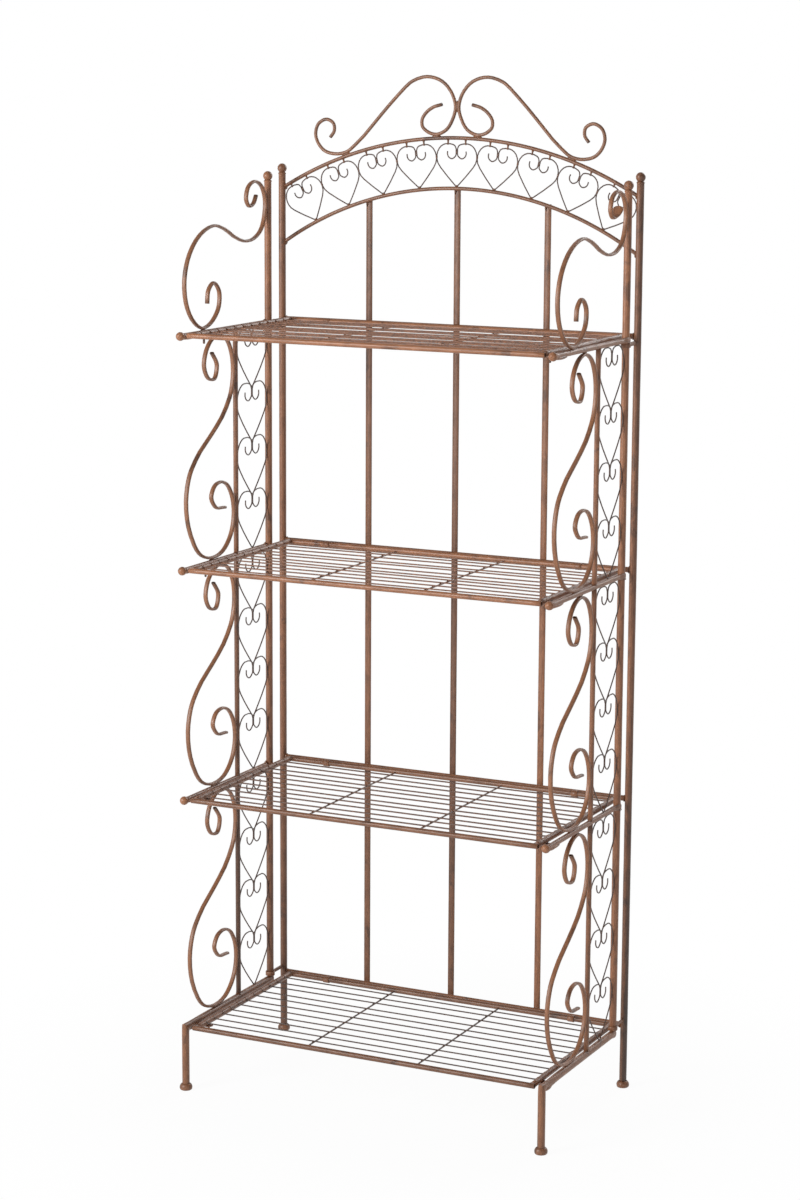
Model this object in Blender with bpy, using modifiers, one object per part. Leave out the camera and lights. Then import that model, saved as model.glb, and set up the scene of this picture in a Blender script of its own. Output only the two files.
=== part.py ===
"""A folding steel shelf unit: four wire shelves between scrolled side frames and an arched back frame.

Metres, +Z up, the front faces -Y. The origin is on the floor under the middle of the unit.
"""

import math
from itertools import accumulate

import bmesh
import bpy
from mathutils import Matrix, Vector
from mathutils.geometry import interpolate_bezier

# Layout of the frame, between centre lines
POST_SPACING = 0.696
HINGE_REACH = 0.054
SIDE_DEPTH = 0.316
MID_POST_SETBACK = 0.122
BASE_LEVEL = 0.1174
LOW_BAY_PITCH = 0.4176
MIDDLE_BAY_PITCH = 0.412
HIGH_BAY_PITCH = 0.409
LOWER_ARCH_OVER_TOP_LEVEL = 0.139
UPPER_ARCH_OVER_LOWER = 0.0995
POST_BALL_OVER_ARCH = 0.0355
UPRIGHT_BALL_DROP = 0.012

# Radii of the tubes, rods and wires
POST_RADIUS = 0.0065
UPRIGHT_RADIUS = 0.0065
BASE_RADIUS = 0.0064
SIDE_BAR_RADIUS = 0.0043
MID_POST_RADIUS = 0.0045
BACK_RAIL_RADIUS = 0.005
SHELF_RAIL_RADIUS = 0.0047
ARCH_RADIUS = 0.0034
CREST_RADIUS = 0.0031
SCROLL_RADIUS = 0.0035
GRID_WIRE_RADIUS = 0.0012
CROSS_WIRE_RADIUS = 0.002
HEART_WIRE_RADIUS = 0.0011
TICK_RADIUS = 0.0013

# Clearances
GAP = 0.0003
FACET_GAP = 0.0002
PIVOT_CLEARANCE = 0.0004
PIN_CLEARANCE = 0.0013
SHELF_SIDE_CLEARANCE = 0.0118
RAIL_CLEARANCE = 0.0015

# Balls on the posts and bars
FINIAL_RADIUS = 0.0085
BAR_BALL_RADIUS = 0.0077
BAR_BALL_SETBACK = 0.002

# Feet
FOOT_RADIUS = 0.0115
FOOT_SOLE_RADIUS = 0.0095
FOOT_MOUTH_RADIUS = 0.0078
FOOT_HEIGHT = 0.012
FOOT_SOCKET_FLOOR = 0.005
FOOT_EDGE = 0.003
BASE_BEND_RADIUS = 0.009

# Back frame
LOWER_ARCH_RISE = 0.107
UPPER_ARCH_RISE = 0.0955
SLAT_WIDTH = 0.0117
SLAT_THICKNESS = 0.003
SLAT_SPACING = 0.174
SLAT_LAP = 0.002
EYE_SETTING = 0.25
EYE_WALL = 0.0018
EYE_LENGTH = 0.012
CREST_WIDTH = 0.280
CREST_HEIGHT = 0.137

# Filigree
ARCH_HEARTS = 9
TICK_ROOM = 0.0068
HEARTS_PER_BAY = 4
HEART_NEST = 0.0064
HEART_WELD = 0.001
LOBE_GAP = 0.0004
TICK_SINK = 0.0006
TICK_SETFORWARD = 0.0002

# Side frames
SCROLL_FRONT_SETBACK = 0.017
TOP_SCROLL_HEIGHT = 0.246
HINGE_WALL = 0.0018
HINGE_HEIGHT = 0.008
HINGE_ARM_THICKNESS = 0.003
HINGE_ARM_HEIGHT = 0.0072

# Shelves and the tabs that lock them
SHELF_FRONT_SETBACK = 0.0028
GRID_WIRES = 11
GRID_WIRE_LIFT = 0.001
CROSS_WIRE_SPACING = 0.214
WIRE_SINK_SHARE = 0.2
TAB_WIDTH = 0.016
TAB_THICKNESS = 0.0025
TAB_SINK = 0.0012
TAB_TAIL = 0.0007
PIN_RADIUS = 0.002
PIN_SETBACK = 0.0405
PIN_TIP = 0.0095

# Fineness of the solids
TUBE_SIDES = 12
ARCH_SIDES = 8
PIN_SIDES = 8
SCROLL_SIDES = 6
WIRE_SIDES = 4
BALL_STEPS = 5
TAB_END_STEPS = 6
LEG_BEND_STEPS = 5
ARCH_STEPS = 22
SPLINE_STEPS = 8
SCROLL_TURN = math.radians(25)
HEART_TURN = math.radians(45)
LONGEST_STEP = 0.07
WELD = 0.00001
BISECTIONS = 30
SEATING_ROUNDS = 6

# Places that follow from the sizes above
POST_X = POST_SPACING / 2
BACK_Y = (HINGE_REACH + SIDE_DEPTH) / 2
UPRIGHT_Y = BACK_Y - HINGE_REACH
FRONT_Y = UPRIGHT_Y - SIDE_DEPTH
MID_POST_Y = UPRIGHT_Y - MID_POST_SETBACK
BAY_PITCHES = (LOW_BAY_PITCH, MIDDLE_BAY_PITCH, HIGH_BAY_PITCH)
LEVELS = list(accumulate(BAY_PITCHES, initial=BASE_LEVEL))
ARCH_Y = BACK_Y + BACK_RAIL_RADIUS - ARCH_RADIUS
LOWER_ARCH_SPRING = LEVELS[-1] + LOWER_ARCH_OVER_TOP_LEVEL
UPPER_ARCH_SPRING = LOWER_ARCH_SPRING + UPPER_ARCH_OVER_LOWER
POST_BALL_HEIGHT = UPPER_ARCH_SPRING + POST_BALL_OVER_ARCH
PIVOT_Y = BACK_Y - BACK_RAIL_RADIUS - RAIL_CLEARANCE - SHELF_RAIL_RADIUS
SHELF_DEPTH = PIVOT_Y - FRONT_Y - SHELF_FRONT_SETBACK
SHELF_HALF = POST_X - POST_RADIUS - SHELF_SIDE_CLEARANCE - SHELF_RAIL_RADIUS
PIN_Y = PIVOT_Y - SHELF_DEPTH + PIN_SETBACK

# A drawing in a local XY plane stands in the side plane, forward and up, or in the back plane
SIDE_PLANE = (math.radians(90), 0, math.radians(-90))
BACK_PLANE = (math.radians(90), 0, 0)
ALONG_X = (0, math.radians(90), 0)
TOWARDS_FRONT = (math.radians(90), 0, 0)

# Outlines of the bent rods, as fractions of the box that each one fills: forward or outward, then up
BAY_SCROLL = [
    (0.45, 0.925), (0.345, 0.865), (0.40, 0.807), (0.52, 0.812), (0.612, 0.868), (0.575, 0.932),
    (0.465, 0.98), (0.295, 1.0), (0.135, 0.973), (0.03, 0.905), (0.0, 0.83), (0.04, 0.74),
    (0.20, 0.645), (0.48, 0.555), (0.76, 0.475), (0.93, 0.395), (1.0, 0.30), (0.985, 0.205),
    (0.905, 0.12), (0.725, 0.03), (0.50, 0.0), (0.235, 0.018), (0.06, 0.088), (0.0, 0.18),
    (0.045, 0.262), (0.155, 0.317), (0.29, 0.334), (0.42, 0.318), (0.48, 0.275), (0.40, 0.227), (0.19, 0.213),
]
TOP_SCROLL = [
    (0.113, 0.90), (0.15, 0.841), (0.202, 0.825), (0.238, 0.87), (0.222, 0.95), (0.132, 1.0),
    (0.043, 0.96), (0.0, 0.87), (0.003, 0.768), (0.052, 0.65), (0.136, 0.593), (0.255, 0.577),
    (0.374, 0.61), (0.51, 0.679), (0.629, 0.711), (0.768, 0.679), (0.881, 0.60), (0.964, 0.48),
    (1.0, 0.337), (0.98, 0.187), (0.91, 0.07), (0.791, 0.0), (0.665, 0.041), (0.583, 0.15),
    (0.583, 0.244), (0.652, 0.309), (0.715, 0.256), (0.728, 0.167),
]
CREST_SCROLL = [
    (0.093, 0.65), (0.157, 0.613), (0.204, 0.547), (0.234, 0.453), (0.232, 0.372), (0.20, 0.307),
    (0.132, 0.27), (0.064, 0.328), (0.018, 0.467), (0.0, 0.613), (0.021, 0.774), (0.089, 0.934),
    (0.193, 1.0), (0.304, 0.942), (0.40, 0.774), (0.543, 0.474), (0.686, 0.168), (0.782, 0.022),
    (0.864, 0.0), (0.939, 0.044), (0.982, 0.139), (1.0, 0.255), (0.979, 0.387), (0.918, 0.445),
    (0.868, 0.387), (0.864, 0.299), (0.893, 0.212),
]
# Half of a wire heart from its point to the end of the curl, as fractions of half its width and of its height
HALF_HEART = [
    (0.0, 0.0), (0.055, 0.005), (0.12, 0.035), (0.46, 0.222), (0.80, 0.425), (0.945, 0.54),
    (1.0, 0.677), (0.965, 0.80), (0.81, 0.93), (0.61, 0.99), (0.44, 1.0), (0.275, 0.992),
    (0.155, 0.972), (0.084, 0.943), (0.042, 0.904), (0.0, 0.85), (0.0, 0.765), (0.09, 0.69),
    (0.24, 0.643), (0.39, 0.675), (0.464, 0.745), (0.46, 0.82),
]
HEART_WIDEST = 0.677
LOBE_TOP = 0.44
ABOVE_POINT = 0.5

PAINT_ROUGHNESS = 0.55
PAINT_METALLIC = 0.35
RUST = (0.262, 0.128, 0.088, 1.0)
RUST_DARK = (0.165, 0.083, 0.060, 1.0)
RUST_LIGHT = (0.300, 0.150, 0.105, 1.0)
WIRE_BROWN = (0.060, 0.034, 0.027, 1.0)


def clear_scene():
    for thing in list(bpy.data.objects):
        bpy.data.objects.remove(thing, do_unlink=True)


def new_collection(name, hidden=False):
    group = bpy.data.collections.new(name)
    group.hide_render = hidden
    bpy.context.scene.collection.children.link(group)
    return group


clear_scene()
UNIT = new_collection("shelf_unit")
OPERANDS = new_collection("cutters", hidden=True)


def painted(name, colour):
    material = bpy.data.materials.new(name)
    material.use_nodes = True
    shader = material.node_tree.nodes["Principled BSDF"]
    shader.inputs["Base Color"].default_value = colour
    shader.inputs["Roughness"].default_value = PAINT_ROUGHNESS
    shader.inputs["Metallic"].default_value = PAINT_METALLIC
    return material


def empty(name, location):
    anchor = bpy.data.objects.new(name, None)
    anchor.location = location
    UNIT.objects.link(anchor)
    return anchor


def place(shape, name, location, rotation=(0, 0, 0)):
    """Puts mesh or curve data in the cutters' collection, where finish() later takes the named parts from."""
    thing = bpy.data.objects.new(name, shape)
    thing.location = location
    thing.rotation_euler = rotation
    thing.display_type = "WIRE"
    OPERANDS.objects.link(thing)
    return thing


def finish(thing, colour, anchor):
    """Makes an object a part of the unit, carried by its frame's anchor."""
    OPERANDS.objects.unlink(thing)
    UNIT.objects.link(thing)
    thing.display_type = "TEXTURED"
    thing.data.materials.append(painted(thing.name, colour))
    thing.parent = anchor
    thing.matrix_parent_inverse = Matrix.Translation(-anchor.location)
    return thing


def combine(thing, operand, operation="UNION"):
    modifier = thing.modifiers.new(operation.lower(), "BOOLEAN")
    modifier.operation = operation
    modifier.solver = "EXACT"
    modifier.object = operand
    return thing


def cylinder(name, radius, length, location, rotation=(0, 0, 0)):
    mesh = bpy.data.meshes.new(name)
    solid = bmesh.new()
    bmesh.ops.create_cone(
        solid, cap_ends=True, segments=TUBE_SIDES, radius1=radius, radius2=radius, depth=length
    )
    for face in solid.faces:
        face.smooth = len(face.verts) == 4
    solid.to_mesh(mesh)
    solid.free()
    return place(mesh, name, location, rotation)


def box(name, size, location):
    mesh = bpy.data.meshes.new(name)
    solid = bmesh.new()
    bmesh.ops.create_cube(solid, size=1, matrix=Matrix.Diagonal((*size, 1)))
    solid.to_mesh(mesh)
    solid.free()
    return place(mesh, name, location)


def turned(name, profile, location, rotation=(0, 0, 0), closed=False):
    """Turns a profile of radius and height, given from the top down its outer side, about local Z."""
    mesh = bpy.data.meshes.new(name)
    edges = [(index, index + 1) for index in range(len(profile) - 1)]
    if closed:
        edges.append((len(profile) - 1, 0))
    mesh.from_pydata([(radius, 0, height) for radius, height in profile], edges, [])
    thing = place(mesh, name, location, rotation)
    screw = thing.modifiers.new("turn", "SCREW")
    screw.steps = TUBE_SIDES
    screw.render_steps = TUBE_SIDES
    screw.use_merge_vertices = True
    screw.merge_threshold = WELD
    screw.use_smooth_shade = True
    return thing


def ring(name, inner, wall, height, location, rotation=(0, 0, 0)):
    outer = inner + wall
    profile = [(outer, height / 2), (outer, -height / 2), (inner, -height / 2), (inner, height / 2)]
    return turned(name, profile, location, rotation, closed=True)


def ball_profile(radius, neck_radius, centre):
    """The profile of a ball from its pole to where it meets a neck under it."""
    last = math.pi - math.asin(neck_radius / radius)
    angles = [last * step / BALL_STEPS for step in range(BALL_STEPS + 1)]
    return [(radius * math.sin(angle), centre + radius * math.cos(angle)) for angle in angles]


def meshed(curve, location, rotation=(0, 0, 0)):
    """Turns a curve into a mesh object of the same name, with its caps welded on."""
    drawn = place(curve, curve.name + "_drawn", location, rotation)
    graph = bpy.context.evaluated_depsgraph_get()
    mesh = bpy.data.meshes.new_from_object(drawn.evaluated_get(graph))
    solid = bmesh.new()
    solid.from_mesh(mesh)
    bmesh.ops.remove_doubles(solid, verts=solid.verts, dist=WELD)
    bmesh.ops.recalc_face_normals(solid, faces=solid.faces)
    solid.to_mesh(mesh)
    solid.free()
    thing = place(mesh, curve.name, location, rotation)
    bpy.data.objects.remove(drawn)
    return thing


def add_outline(curve, points, closed=False):
    spline = curve.splines.new("POLY")
    spline.points.add(len(points) - 1)
    spline.use_cyclic_u = closed
    for knot, point in zip(spline.points, points):
        knot.co = (*Vector(point).to_3d(), 1)


def tubes(name, paths, radius, sides, location, rotation=(0, 0, 0)):
    """Makes a mesh of round rods along paths drawn in a local XY plane, or in space."""
    curve = bpy.data.curves.new(name, "CURVE")
    curve.dimensions = "3D"
    curve.bevel_depth = radius
    curve.bevel_resolution = sides // 2 - 2
    curve.use_fill_caps = True
    for path in paths:
        add_outline(curve, path)
    return meshed(curve, location, rotation)


def smooth_path(points):
    """A smooth curve through the points, finely sampled."""
    points = [Vector(point) for point in points]
    spans = [(end - start).length for start, end in zip(points, points[1:])]
    slopes = [(end - start) / span for start, end, span in zip(points, points[1:], spans)]
    tangents = [slopes[0]]
    for before, after, span_before, span_after in zip(slopes, slopes[1:], spans, spans[1:]):
        tangents.append((before * span_after + after * span_before) / (span_before + span_after))
    tangents.append(slopes[-1])
    path = []
    for start, end, span, leaving, arriving in zip(points, points[1:], spans, tangents, tangents[1:]):
        handles = (start + leaving * span / 3, end - arriving * span / 3)
        path += interpolate_bezier(start, *handles, end, SPLINE_STEPS + 1)[:-1]
    return [*path, points[-1]]


def thinned(path, turn):
    """Keeps a point of a fine path wherever it has turned by this angle or run the longest step."""
    kept = [path[0]]
    turned_by = 0.0
    for before, here, after in zip(path, path[1:], path[2:]):
        turned_by += (here - before).angle(after - here)
        if turned_by >= turn or (here - kept[-1]).length >= LONGEST_STEP:
            kept.append(here)
            turned_by = 0.0
    kept.append(path[-1])
    return kept


def fitted(path, width, height):
    """Scales a path so that its own box starts at 0, 0 and has this width and height."""
    low = Vector((min(point.x for point in path), min(point.y for point in path)))
    high = Vector((max(point.x for point in path), max(point.y for point in path)))
    return [
        Vector(((point.x - low.x) / (high.x - low.x) * width, (point.y - low.y) / (high.y - low.y) * height))
        for point in path
    ]


def bent_rod(outline, width, height, turn=SCROLL_TURN):
    real = [(across * width, up * height) for across, up in outline]
    return fitted(thinned(smooth_path(real), turn), width, height)


def heart(half_width, height):
    """One wire heart on its point, from the end of one curl over both lobes to the end of the other."""
    outline = [(across * half_width, up * height) for across, up in HALF_HEART]
    mirrored = [(-across, up) for across, up in reversed(outline[1:])]
    fine = smooth_path(mirrored + outline)
    half = thinned(fine[len(fine) // 2:], HEART_TURN)
    widest = max(at.x for at in half)
    tallest = max(at.y for at in half)
    half = [parted(Vector((at.x * half_width / widest, at.y * height / tallest)), height) for at in half]
    return [Vector((-at.x, at.y)) for at in reversed(half[1:])] + half


def parted(point, height):
    """Keeps a lobe on its own side of the heart's middle, clear of the other lobe."""
    if point.y > ABOVE_POINT * height:
        return Vector((max(point.x, HEART_WIRE_RADIUS + LOBE_GAP / 2), point.y))
    return point


class Arch:
    """A round arch in the back frame, springing from the centre lines of the posts."""

    def __init__(self, spring, rise):
        self.radius = (POST_X**2 + rise**2) / (2 * rise)
        self.centre = Vector((0, spring + rise - self.radius))

    def height(self, across):
        return self.centre.y + math.sqrt(self.radius**2 - across**2)

    def angle(self, across):
        return math.asin(across / self.radius)

    def clear_of(self, point):
        """How far a point lies outside the arch's centre line."""
        return (point - self.centre).length - self.radius

    def path(self):
        post_face = POST_X - POST_RADIUS - GAP
        last = self.angle(post_face - ARCH_RADIUS * math.sin(self.angle(post_face)))
        angles = [last * (2 * step / ARCH_STEPS - 1) for step in range(ARCH_STEPS + 1)]
        return [
            self.centre + self.radius * Vector((math.sin(angle), math.cos(angle))) for angle in angles
        ]


LOWER_ARCH = Arch(LOWER_ARCH_SPRING, LOWER_ARCH_RISE)
UPPER_ARCH = Arch(UPPER_ARCH_SPRING, UPPER_ARCH_RISE)
ROOM_BETWEEN_ARCHES = UPPER_ARCH.height(0) - LOWER_ARCH.height(0) - 2 * ARCH_RADIUS
ARCH_HEART_HEIGHT = ROOM_BETWEEN_ARCHES - GAP - HEART_WIRE_RADIUS - TICK_ROOM


def bar_radius(number):
    return BASE_RADIUS if number == 0 else SIDE_BAR_RADIUS


def shelf_level(number):
    """The height of a shelf whose rails rest on the tabs under the side bars."""
    tab_top = LEVELS[number] - bar_radius(number) + TAB_SINK
    return tab_top + GAP + SHELF_RAIL_RADIUS


def foot(name, location, anchor):
    """A round cap with a socket for the end of a tube."""
    socket_radius = max(POST_RADIUS, BASE_RADIUS) + GAP
    profile = [
        (0, FOOT_SOCKET_FLOOR),
        (socket_radius, FOOT_SOCKET_FLOOR),
        (socket_radius, FOOT_HEIGHT),
        (FOOT_MOUTH_RADIUS, FOOT_HEIGHT),
        (FOOT_RADIUS, FOOT_HEIGHT - FOOT_EDGE),
        (FOOT_RADIUS, FOOT_EDGE),
        (FOOT_SOLE_RADIUS, 0),
        (0, 0),
    ]
    return finish(turned(name, profile, location), RUST_DARK, anchor)


def post(name, radius, bottom, ball_centre, location, anchor):
    """A round tube with a ball on its top."""
    profile = ball_profile(FINIAL_RADIUS, radius, ball_centre)
    profile += [(radius, bottom), (0, bottom)]
    return finish(turned(name, profile, location), RUST, anchor)


def back_rail(name, level, anchor):
    """A rail from post to post, with two eyes for the rear rail of a shelf to turn in."""
    length = 2 * (POST_X - POST_RADIUS - GAP)
    rail = cylinder(name, BACK_RAIL_RADIUS, length, (0, BACK_Y, level), ALONG_X)
    inner = SHELF_RAIL_RADIUS + PIVOT_CLEARANCE
    for side in (-1, 1):
        at = (side * EYE_SETTING, PIVOT_Y, level)
        combine(rail, ring(f"{name}_eye_{side}", inner, EYE_WALL, EYE_LENGTH, at, ALONG_X))
    return finish(rail, RUST, anchor)


def slat(name, across, anchor):
    bottom = shelf_level(0) - BACK_RAIL_RADIUS
    top = LOWER_ARCH.height(across) + SLAT_LAP
    depth = BACK_Y + BACK_RAIL_RADIUS + GAP + SLAT_THICKNESS / 2
    size = (SLAT_WIDTH, SLAT_THICKNESS, top - bottom)
    return finish(box(name, size, (across, depth, (top + bottom) / 2)), RUST, anchor)


def arch_heart_half_width(pitch):
    """Half the width of an arch heart whose neighbours are this angle away and just overlap it."""
    widest = LOWER_ARCH.radius + ARCH_RADIUS + GAP + HEART_WIRE_RADIUS + HEART_WIDEST * ARCH_HEART_HEIGHT
    return widest * math.tan(pitch / 2) - HEART_WIRE_RADIUS + HEART_WELD / 2


def arch_heart(pitch, index):
    """The path of one arch heart in the back plane, its point resting on the lower arch."""
    angle = pitch * (index - (ARCH_HEARTS - 1) / 2)
    outward = Vector((math.sin(angle), math.cos(angle)))
    along = Vector((math.cos(angle), -math.sin(angle)))
    stand = LOWER_ARCH.radius + ARCH_RADIUS + GAP + HEART_WIRE_RADIUS
    point = LOWER_ARCH.centre + stand * outward
    half_width = arch_heart_half_width(pitch)
    path = [point + along * at.x + outward * at.y for at in heart(half_width, ARCH_HEART_HEIGHT)]
    tops = [
        point + along * side * LOBE_TOP * half_width + outward * (ARCH_HEART_HEIGHT - TICK_SINK)
        for side in (-1, 1)
    ]
    return path, [(top, outward) for top in tops]


def arch_heart_pitch():
    """The angle between hearts that makes the last one touch the post."""
    reach = POST_X - POST_RADIUS - GAP - HEART_WIRE_RADIUS
    low, high = 0.0, 2 * LOWER_ARCH.angle(POST_X) / ARCH_HEARTS
    for _ in range(BISECTIONS):
        middle = (low + high) / 2
        path, _ = arch_heart(middle, ARCH_HEARTS - 1)
        if max(at.x for at in path) > reach:
            high = middle
        else:
            low = middle
    return low


def tick(top, outward):
    """The short wire from a heart's lobe to the underside of the upper arch."""
    inside = UPPER_ARCH.radius - ARCH_RADIUS - GAP - FACET_GAP
    from_centre = top - UPPER_ARCH.centre
    ahead = from_centre.dot(outward)
    run = -ahead + math.sqrt(ahead**2 - from_centre.length_squared + inside**2)
    return [top, top + outward * run]


def hearts_with_ticks(name, drawn):
    paths = [path for path, _ in drawn]
    ticks = [tick(top, outward) for _, tops in drawn for top, outward in tops]
    hearts = tubes(name, paths, HEART_WIRE_RADIUS, WIRE_SIDES, (0, ARCH_Y, 0), BACK_PLANE)
    before = (0, ARCH_Y - TICK_SETFORWARD, 0)
    return combine(hearts, tubes(name + "_ticks", ticks, TICK_RADIUS, WIRE_SIDES, before, BACK_PLANE))


def arch_hearts(anchor):
    """The row of wire hearts between the arches, each joined to the next one at its widest place."""
    pitch = arch_heart_pitch()
    drawn = [arch_heart(pitch, index) for index in range(ARCH_HEARTS)]
    strip = hearts_with_ticks("arch_hearts", drawn[::2])
    combine(strip, hearts_with_ticks("arch_hearts_between", drawn[1::2]))
    return finish(strip, WIRE_BROWN, anchor)


def seated_on_arch(path):
    """Shifts and tilts a crest scroll until its inner and outer curls both rest on the upper arch."""
    stand = ARCH_RADIUS + CREST_RADIUS + GAP
    for _ in range(SEATING_ROUNDS):
        inner = min((at for at in path if at.x < CREST_WIDTH / 2), key=UPPER_ARCH.clear_of)
        outer = min((at for at in path if at.x > CREST_WIDTH / 2), key=UPPER_ARCH.clear_of)
        inner_drop = stand - UPPER_ARCH.clear_of(inner)
        outer_drop = stand - UPPER_ARCH.clear_of(outer)
        slope = (outer_drop - inner_drop) / (outer.x - inner.x)
        path = [Vector((at.x, at.y + inner_drop + slope * (at.x - inner.x))) for at in path]
    return path


def crest_scroll(name, side, anchor):
    drawn = bent_rod(CREST_SCROLL, CREST_WIDTH - CREST_RADIUS, CREST_HEIGHT)
    apex = UPPER_ARCH.height(0)
    inset = CREST_RADIUS + GAP / 2
    path = seated_on_arch([Vector((at.x + inset, at.y + apex)) for at in drawn])
    sided = [(side * at.x, at.y) for at in path]
    rod = tubes(name, [sided], CREST_RADIUS, SCROLL_SIDES, (0, ARCH_Y, 0), BACK_PLANE)
    return finish(rod, RUST_LIGHT, anchor)


def build_back_frame():
    anchor = empty("back_frame", (0, BACK_Y, 0))
    tube_end = FOOT_SOCKET_FLOOR + GAP
    for side, word in ((-1, "left"), (1, "right")):
        at = (side * POST_X, BACK_Y, 0)
        post(f"back_post_{word}", POST_RADIUS, tube_end, POST_BALL_HEIGHT, at, anchor)
        foot(f"back_foot_{word}", at, anchor)
        crest_scroll(f"crest_scroll_{word}", side, anchor)
    for number in range(len(LEVELS)):
        back_rail(f"back_rail_{number + 1}", shelf_level(number), anchor)
    for word, across in (("left", -SLAT_SPACING), ("centre", 0), ("right", SLAT_SPACING)):
        slat(f"back_slat_{word}", across, anchor)
    for word, arch in (("lower", LOWER_ARCH), ("upper", UPPER_ARCH)):
        rod = tubes(f"arch_{word}", [arch.path()], ARCH_RADIUS, ARCH_SIDES, (0, ARCH_Y, 0), BACK_PLANE)
        finish(rod, RUST, anchor)
    arch_hearts(anchor)


def tab(name, side, number):
    """A flat strip under a side bar: one round end lies outside the bar, the other has the pin's hole."""
    curve = bpy.data.curves.new(name, "CURVE")
    curve.dimensions = "2D"
    curve.fill_mode = "BOTH"
    curve.extrude = TAB_THICKNESS / 2
    half = TAB_WIDTH / 2
    inward = POST_X - SHELF_HALF
    arc = [math.pi * (step / TAB_END_STEPS - 0.5) for step in range(TAB_END_STEPS + 1)]
    outline = [(inward + half * math.cos(angle), half * math.sin(angle)) for angle in arc]
    outline += [(-TAB_TAIL - half * math.cos(angle), -half * math.sin(angle)) for angle in arc]
    hole_radius = PIN_RADIUS + PIN_CLEARANCE
    turn = [math.tau * step / TUBE_SIDES for step in range(TUBE_SIDES)]
    hole = [(inward + hole_radius * math.cos(a), hole_radius * math.sin(a)) for a in turn]
    for edge in (outline, hole):
        add_outline(curve, [(-side * across, along) for across, along in edge], closed=True)
    centre = shelf_level(number) - SHELF_RAIL_RADIUS - GAP - TAB_THICKNESS / 2
    return meshed(curve, (side * POST_X, PIN_Y, centre))


def side_bar(name, side, number, anchor):
    """A round bar from the upright to a ball in front, with its lock tab."""
    rear = UPRIGHT_Y - UPRIGHT_RADIUS - GAP
    ball = rear - (FRONT_Y + BAR_BALL_SETBACK)
    profile = ball_profile(BAR_BALL_RADIUS, SIDE_BAR_RADIUS, ball)
    profile += [(SIDE_BAR_RADIUS, 0), (0, 0)]
    bar = turned(name, profile, (side * POST_X, rear, LEVELS[number]), TOWARDS_FRONT)
    combine(bar, tab(name + "_tab", side, number))
    return finish(bar, RUST_LIGHT, anchor)


def base_leg(name, side, anchor):
    """The bottom bar, bent down into the front leg, with its lock tab."""
    reach = UPRIGHT_RADIUS + SIDE_DEPTH
    leg_end = FOOT_SOCKET_FLOOR + GAP
    path = [Vector((0, BASE_LEVEL))]
    bend_centre = Vector((reach - BASE_BEND_RADIUS, BASE_LEVEL - BASE_BEND_RADIUS))
    for step in range(LEG_BEND_STEPS + 1):
        turn = math.pi / 2 * step / LEG_BEND_STEPS
        path.append(bend_centre + BASE_BEND_RADIUS * Vector((math.sin(turn), math.cos(turn))))
    path.append(Vector((reach, leg_end)))
    at = (side * POST_X, UPRIGHT_Y + UPRIGHT_RADIUS, 0)
    bent = tubes(name, [path], BASE_RADIUS, TUBE_SIDES, at, SIDE_PLANE)
    combine(bent, tab(name + "_tab", side, 0))
    return finish(bent, RUST_LIGHT, anchor)


def bay_between_bars(bay):
    """The height of the lower bar's top and of the upper bar's underside, with the gap that parts keep."""
    low = LEVELS[bay] + bar_radius(bay) + GAP
    high = LEVELS[bay + 1] - bar_radius(bay + 1) - GAP
    return low, high


def mid_post(name, side, bay, anchor):
    low, high = bay_between_bars(bay)
    at = (side * POST_X, MID_POST_Y, (low + high) / 2)
    return finish(cylinder(name, MID_POST_RADIUS, high - low, at), RUST, anchor)


def bay_scroll(name, side, bay, anchor):
    low, high = bay_between_bars(bay)
    rear = MID_POST_Y - MID_POST_RADIUS - GAP - SCROLL_RADIUS
    width = rear - (FRONT_Y + SCROLL_FRONT_SETBACK)
    path = bent_rod(BAY_SCROLL, width, high - low - 2 * SCROLL_RADIUS)
    at = (side * POST_X, rear, low + SCROLL_RADIUS)
    return finish(tubes(name, [path], SCROLL_RADIUS, SCROLL_SIDES, at, SIDE_PLANE), RUST_LIGHT, anchor)


def top_scroll(name, side, anchor):
    low = LEVELS[-1] + SIDE_BAR_RADIUS + GAP
    rear = UPRIGHT_Y - UPRIGHT_RADIUS - GAP - SCROLL_RADIUS
    width = rear - (FRONT_Y + SCROLL_FRONT_SETBACK)
    path = bent_rod(TOP_SCROLL, width, TOP_SCROLL_HEIGHT)
    at = (side * POST_X, rear, low + SCROLL_RADIUS)
    return finish(tubes(name, [path], SCROLL_RADIUS, SCROLL_SIDES, at, SIDE_PLANE), RUST_LIGHT, anchor)


def side_hearts(name, side, bay, anchor):
    """A column of wire hearts, each standing between the lobes of the one under it."""
    low, high = bay_between_bars(bay)
    rear = UPRIGHT_Y - UPRIGHT_RADIUS - GAP
    front = MID_POST_Y + MID_POST_RADIUS + GAP
    half_width = (rear - front) / 2 - HEART_WIRE_RADIUS
    clear = high - low - 2 * HEART_WIRE_RADIUS
    height = (clear + (HEARTS_PER_BAY - 1) * HEART_NEST) / HEARTS_PER_BAY
    one = heart(half_width, height)
    paths = [
        [at + Vector((0, number * (height - HEART_NEST))) for at in one] for number in range(HEARTS_PER_BAY)
    ]
    at = (side * POST_X, (rear + front) / 2, low + HEART_WIRE_RADIUS)
    column = tubes(name, paths[::2], HEART_WIRE_RADIUS, WIRE_SIDES, at, SIDE_PLANE)
    combine(column, tubes(name + "_between", paths[1::2], HEART_WIRE_RADIUS, WIRE_SIDES, at, SIDE_PLANE))
    return finish(column, WIRE_BROWN, anchor)


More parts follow.
